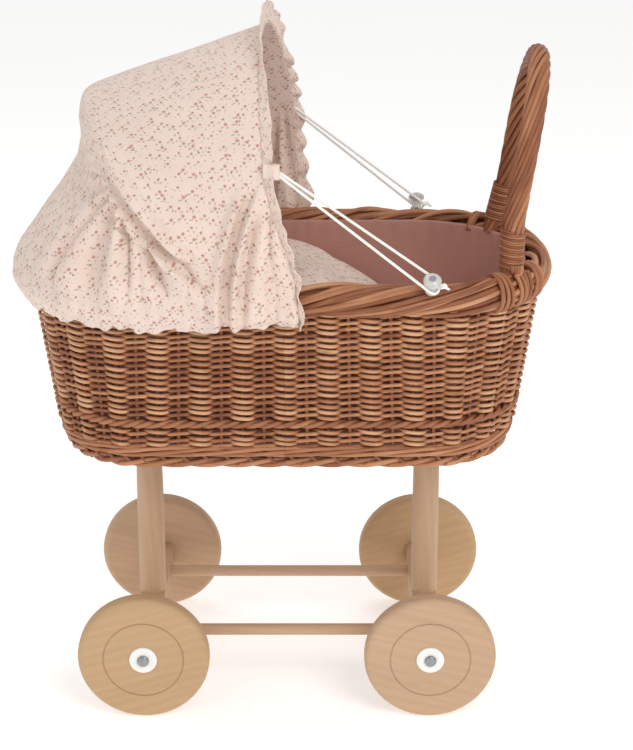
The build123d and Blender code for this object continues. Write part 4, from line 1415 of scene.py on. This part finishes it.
lining_quads += [(last + i, len(lining_points) - 1, last + (i + 1) % lining_columns)
                 for i in range(lining_columns)]
lining = piece("lining_cloth", lining_points, lining_quads, rose_cotton, None, "plain_lining",
               ["basket_lining"])
thicken(lining, 0.9 * mm, 0.0)
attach(lining, "pram")

# %% [markdown]
# ## Stuffed things
# The mattress, the pillow and the quilt are stuffed. Each starts as a plain closed form a little
# smaller than it should be. Remeshing gives it even faces, and a cloth simulation with air
# pressure and no gravity blows it up, which pulls its sides in and wrinkles it as a real cover
# does. How far a point may move is capped, so that a pad keeps its place among its neighbours.

# %% Blowing up a pad


def closed_rings(rings):
    """Points and faces of a closed form from rings of equal length and its two end points."""
    count = len(rings[0])
    points = np.concatenate([[rings[0].mean(0)], np.concatenate(rings), [rings[-1].mean(0)]])
    faces = []
    for row in range(len(rings) - 1):
        a, b = 1 + row * count, 1 + (row + 1) * count
        faces += [(a + i, a + (i + 1) % count, b + (i + 1) % count, b + i) for i in range(count)]
    end, last = len(points) - 1, 1 + (len(rings) - 1) * count
    faces += [((1 + (i + 1) % count), 1 + i, 0) for i in range(count)]
    faces += [(last + i, last + (i + 1) % count, end) for i in range(count)]
    return points, faces


def puffed(thing, voxel, pressure, cap, held=None):
    """Remeshes a closed form and inflates it with a cloth simulation."""
    remesh = thing.modifiers.new("even", "REMESH")
    remesh.mode, remesh.voxel_size, remesh.use_smooth_shade = "VOXEL", voxel, True
    settled(thing)
    start = corners_of(thing)
    scene = bpy.context.scene
    cloth = thing.modifiers.new("puff", "CLOTH")
    cloth.settings.use_pressure = True
    cloth.settings.uniform_pressure_force = pressure
    cloth.settings.effector_weights.gravity = 0
    cloth.settings.quality = 5
    cloth.collision_settings.use_collision = False
    cloth.point_cache.frame_end = 20
    for number in range(1, 21):
        scene.frame_set(number)
    settled(thing)
    scene.frame_set(1)
    moved = corners_of(thing) - start
    far = np.linalg.norm(moved, axis=1, keepdims=True)
    moved *= np.minimum(1, cap / np.maximum(far, 1e-9))
    if held is not None:
        moved *= held(start)[:, None]
    thing.data.vertices.foreach_set("co", (start + moved).astype(np.float32).ravel())
    smooth = thing.modifiers.new("smooth", "SUBSURF")
    smooth.levels = smooth.render_levels = 1
    settled(thing)
    thing.data.shade_smooth()
    return thing


# %% Ticking finish


def paint_ticking(wire):
    spot = place(wire)
    across = spot.part(1)
    stripe = across.math("PINGPONG", across, 7 * mm)
    band = 1.0 - (stripe - 1.1 * mm).math("ABSOLUTE", stripe - 1.1 * mm).blur(0.35 * mm, 0.6 * mm)
    threads, cloud = weave_height(spot, 1.4), spot.noise(18.0, 3.0)
    cream = cloud.mixed(rgb(226, 214, 196), rgb(238, 228, 212))
    return {"Base Color": (band * 0.55).mixed(cream, rgb(172, 146, 132)),
            "Roughness": threads * 0.1 + 0.8, "height": threads, "depth": 0.08 * mm}


ticking = finish("mattress_ticking", paint_ticking, Sheen_Weight=0.15, Specular_IOR_Level=0.2)

# %% Mattress
mattress_low, mattress_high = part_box("mattress")
mattress_plan = np.array([160, 75, 60]) * mm
pad_share = np.arange(160) / 160


def pad_ring(plan, scale, z):
    return ring_at(plan * scale, pad_share, z)


mattress_profile = ((0.3, 0.02), (0.7, 0.02), (0.93, 0.03), (0.975, 0.12), (0.985, 0.35), (0.985, 0.65),
                    (0.975, 0.85), (0.93, 0.95), (0.7, 0.97), (0.3, 0.97))
mattress_rings = [pad_ring(mattress_plan, s, mattress_low.z + h * (mattress_high.z - mattress_low.z))
                  for s, h in mattress_profile]
mattress = piece("mattress_pad", *closed_rings(mattress_rings), ticking, None, "mattress_ticking",
                 ["mattress"])
puffed(mattress, 5 * mm, 1.2, 2.0 * mm)
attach(mattress, "pram")

# %% Pillow
pillow_low, pillow_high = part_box("pillow")
pillow_middle = np.array((pillow_low + pillow_high) / 2)
pillow_half = np.array((pillow_high - pillow_low) / 2)
turn = np.linspace(0, 2 * math.pi, 120, endpoint=False)
square = [np.sign(wave) * np.abs(wave) ** 0.42 for wave in (np.cos(turn), np.sin(turn))]
pulled = 1 - 0.06 * np.abs(np.sin(2 * turn - math.pi / 2)) ** 2
pillow_rings = []
pillow_profile = ((0.25, -0.72), (0.6, -0.66), (0.85, -0.42), (0.97, -0.12), (1.0, 0.0), (0.97, 0.14),
                  (0.85, 0.5), (0.6, 0.82), (0.25, 0.92))
for s, h in pillow_profile:
    ring = np.stack([square[0] * pulled, square[1] * pulled, np.zeros(120)], 1) * pillow_half * s * 0.96
    pillow_rings.append(pillow_middle + ring + np.array([0, 0, h * pillow_half[2]]))
pillow = piece("pillow_pad", *closed_rings(pillow_rings), print_cotton, None, "floral_cotton",
               ["pillow"])
puffed(pillow, 4 * mm, 2.0, 3.5 * mm,
       lambda p: smooth_step(p[:, 2], pillow_low.z, pillow_low.z + 6 * mm))
carry(pillow, "print", corners_of(pillow) * np.array([1, 1, 0]), "FLOAT_VECTOR")
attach(pillow, "pram")

# %% Quilt
quilt_low, quilt_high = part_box("quilt")
quilt_x = np.array([-57, -50, -30, 0, 28, 46, 62, 84, 108, 125, 140, 150, 154]) * mm
quilt_top = np.array([288, 305, 320, 324.5, 319, 309, 297, 279, 263, 258.5, 255, 251, 246]) * mm
quilt_rows, quilt_columns = 90, 64


def lining_room(z):
    """The lining's plan at a height, less a little room."""
    rise = (z - lining_low.z) / (lining_high.z - lining_low.z)
    return [a + (b - a) * rise - 3.2 * mm for a, b in zip(lining_foot, lining_top)]


def quilt_height(x, v):
    top = np.interp(x, quilt_x, quilt_top)
    crown = -5 * mm * np.abs(v) ** 5
    crown = crown + 9 * mm * smooth_step(v, 0.35, 0.95) * (1 - smooth_step(x, 50 * mm, 110 * mm))
    fold = 3.4 * mm * np.sin(x / (15 * mm) + 1.6 * v + 0.6 * np.sin(3.1 * v))
    fold *= smooth_step(x, -60 * mm, -10 * mm)
    fold += 2.2 * mm * np.sin(x / (9 * mm) - 3 * v) * bump(v, -0.4, 0.6)
    fold += 1.5 * mm * np.sin(5 * v + x / (30 * mm))
    return top + crown + fold * (1 - 0.6 * smooth_step(x, 100 * mm, 150 * mm)) - 2 * mm


quilt_rings = []
for x in np.linspace(quilt_low.x + 1.5 * mm, quilt_high.x - 2 * mm, quilt_rows):
    v = np.linspace(-1, 1, quilt_columns)
    reach = half_width(lining_room(quilt_low.z + 14 * mm), np.array([x]))[0]
    z = quilt_height(np.full(quilt_columns, x), v)
    wide = np.array([half_width(lining_room(level), np.array([x]))[0] for level in z])
    upper = np.stack([np.full(quilt_columns, x), v * wide, z], 1)
    lower = np.stack([np.full(quilt_columns, x), v[::-1] * (reach - 2 * mm),
                      np.full(quilt_columns, quilt_low.z + 1 * mm)], 1)
    quilt_rings.append(np.concatenate([upper, lower]))
quilt = piece("quilt_pad", *closed_rings(quilt_rings), print_cotton, None, "floral_cotton", ["quilt"])
puffed(quilt, 5 * mm, 1.5, 3.0 * mm, lambda p: smooth_step(p[:, 2], quilt_low.z, quilt_low.z + 8 * mm))
quilt_flat = corners_of(quilt)
quilt_slope = 0.3 * (quilt_high.z - quilt_flat[:, 2])
carry(quilt, "print", np.stack([quilt_flat[:, 0] + quilt_slope, quilt_flat[:, 1], 0 * quilt_slope], 1),
      "FLOAT_VECTOR")
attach(quilt, "pram")
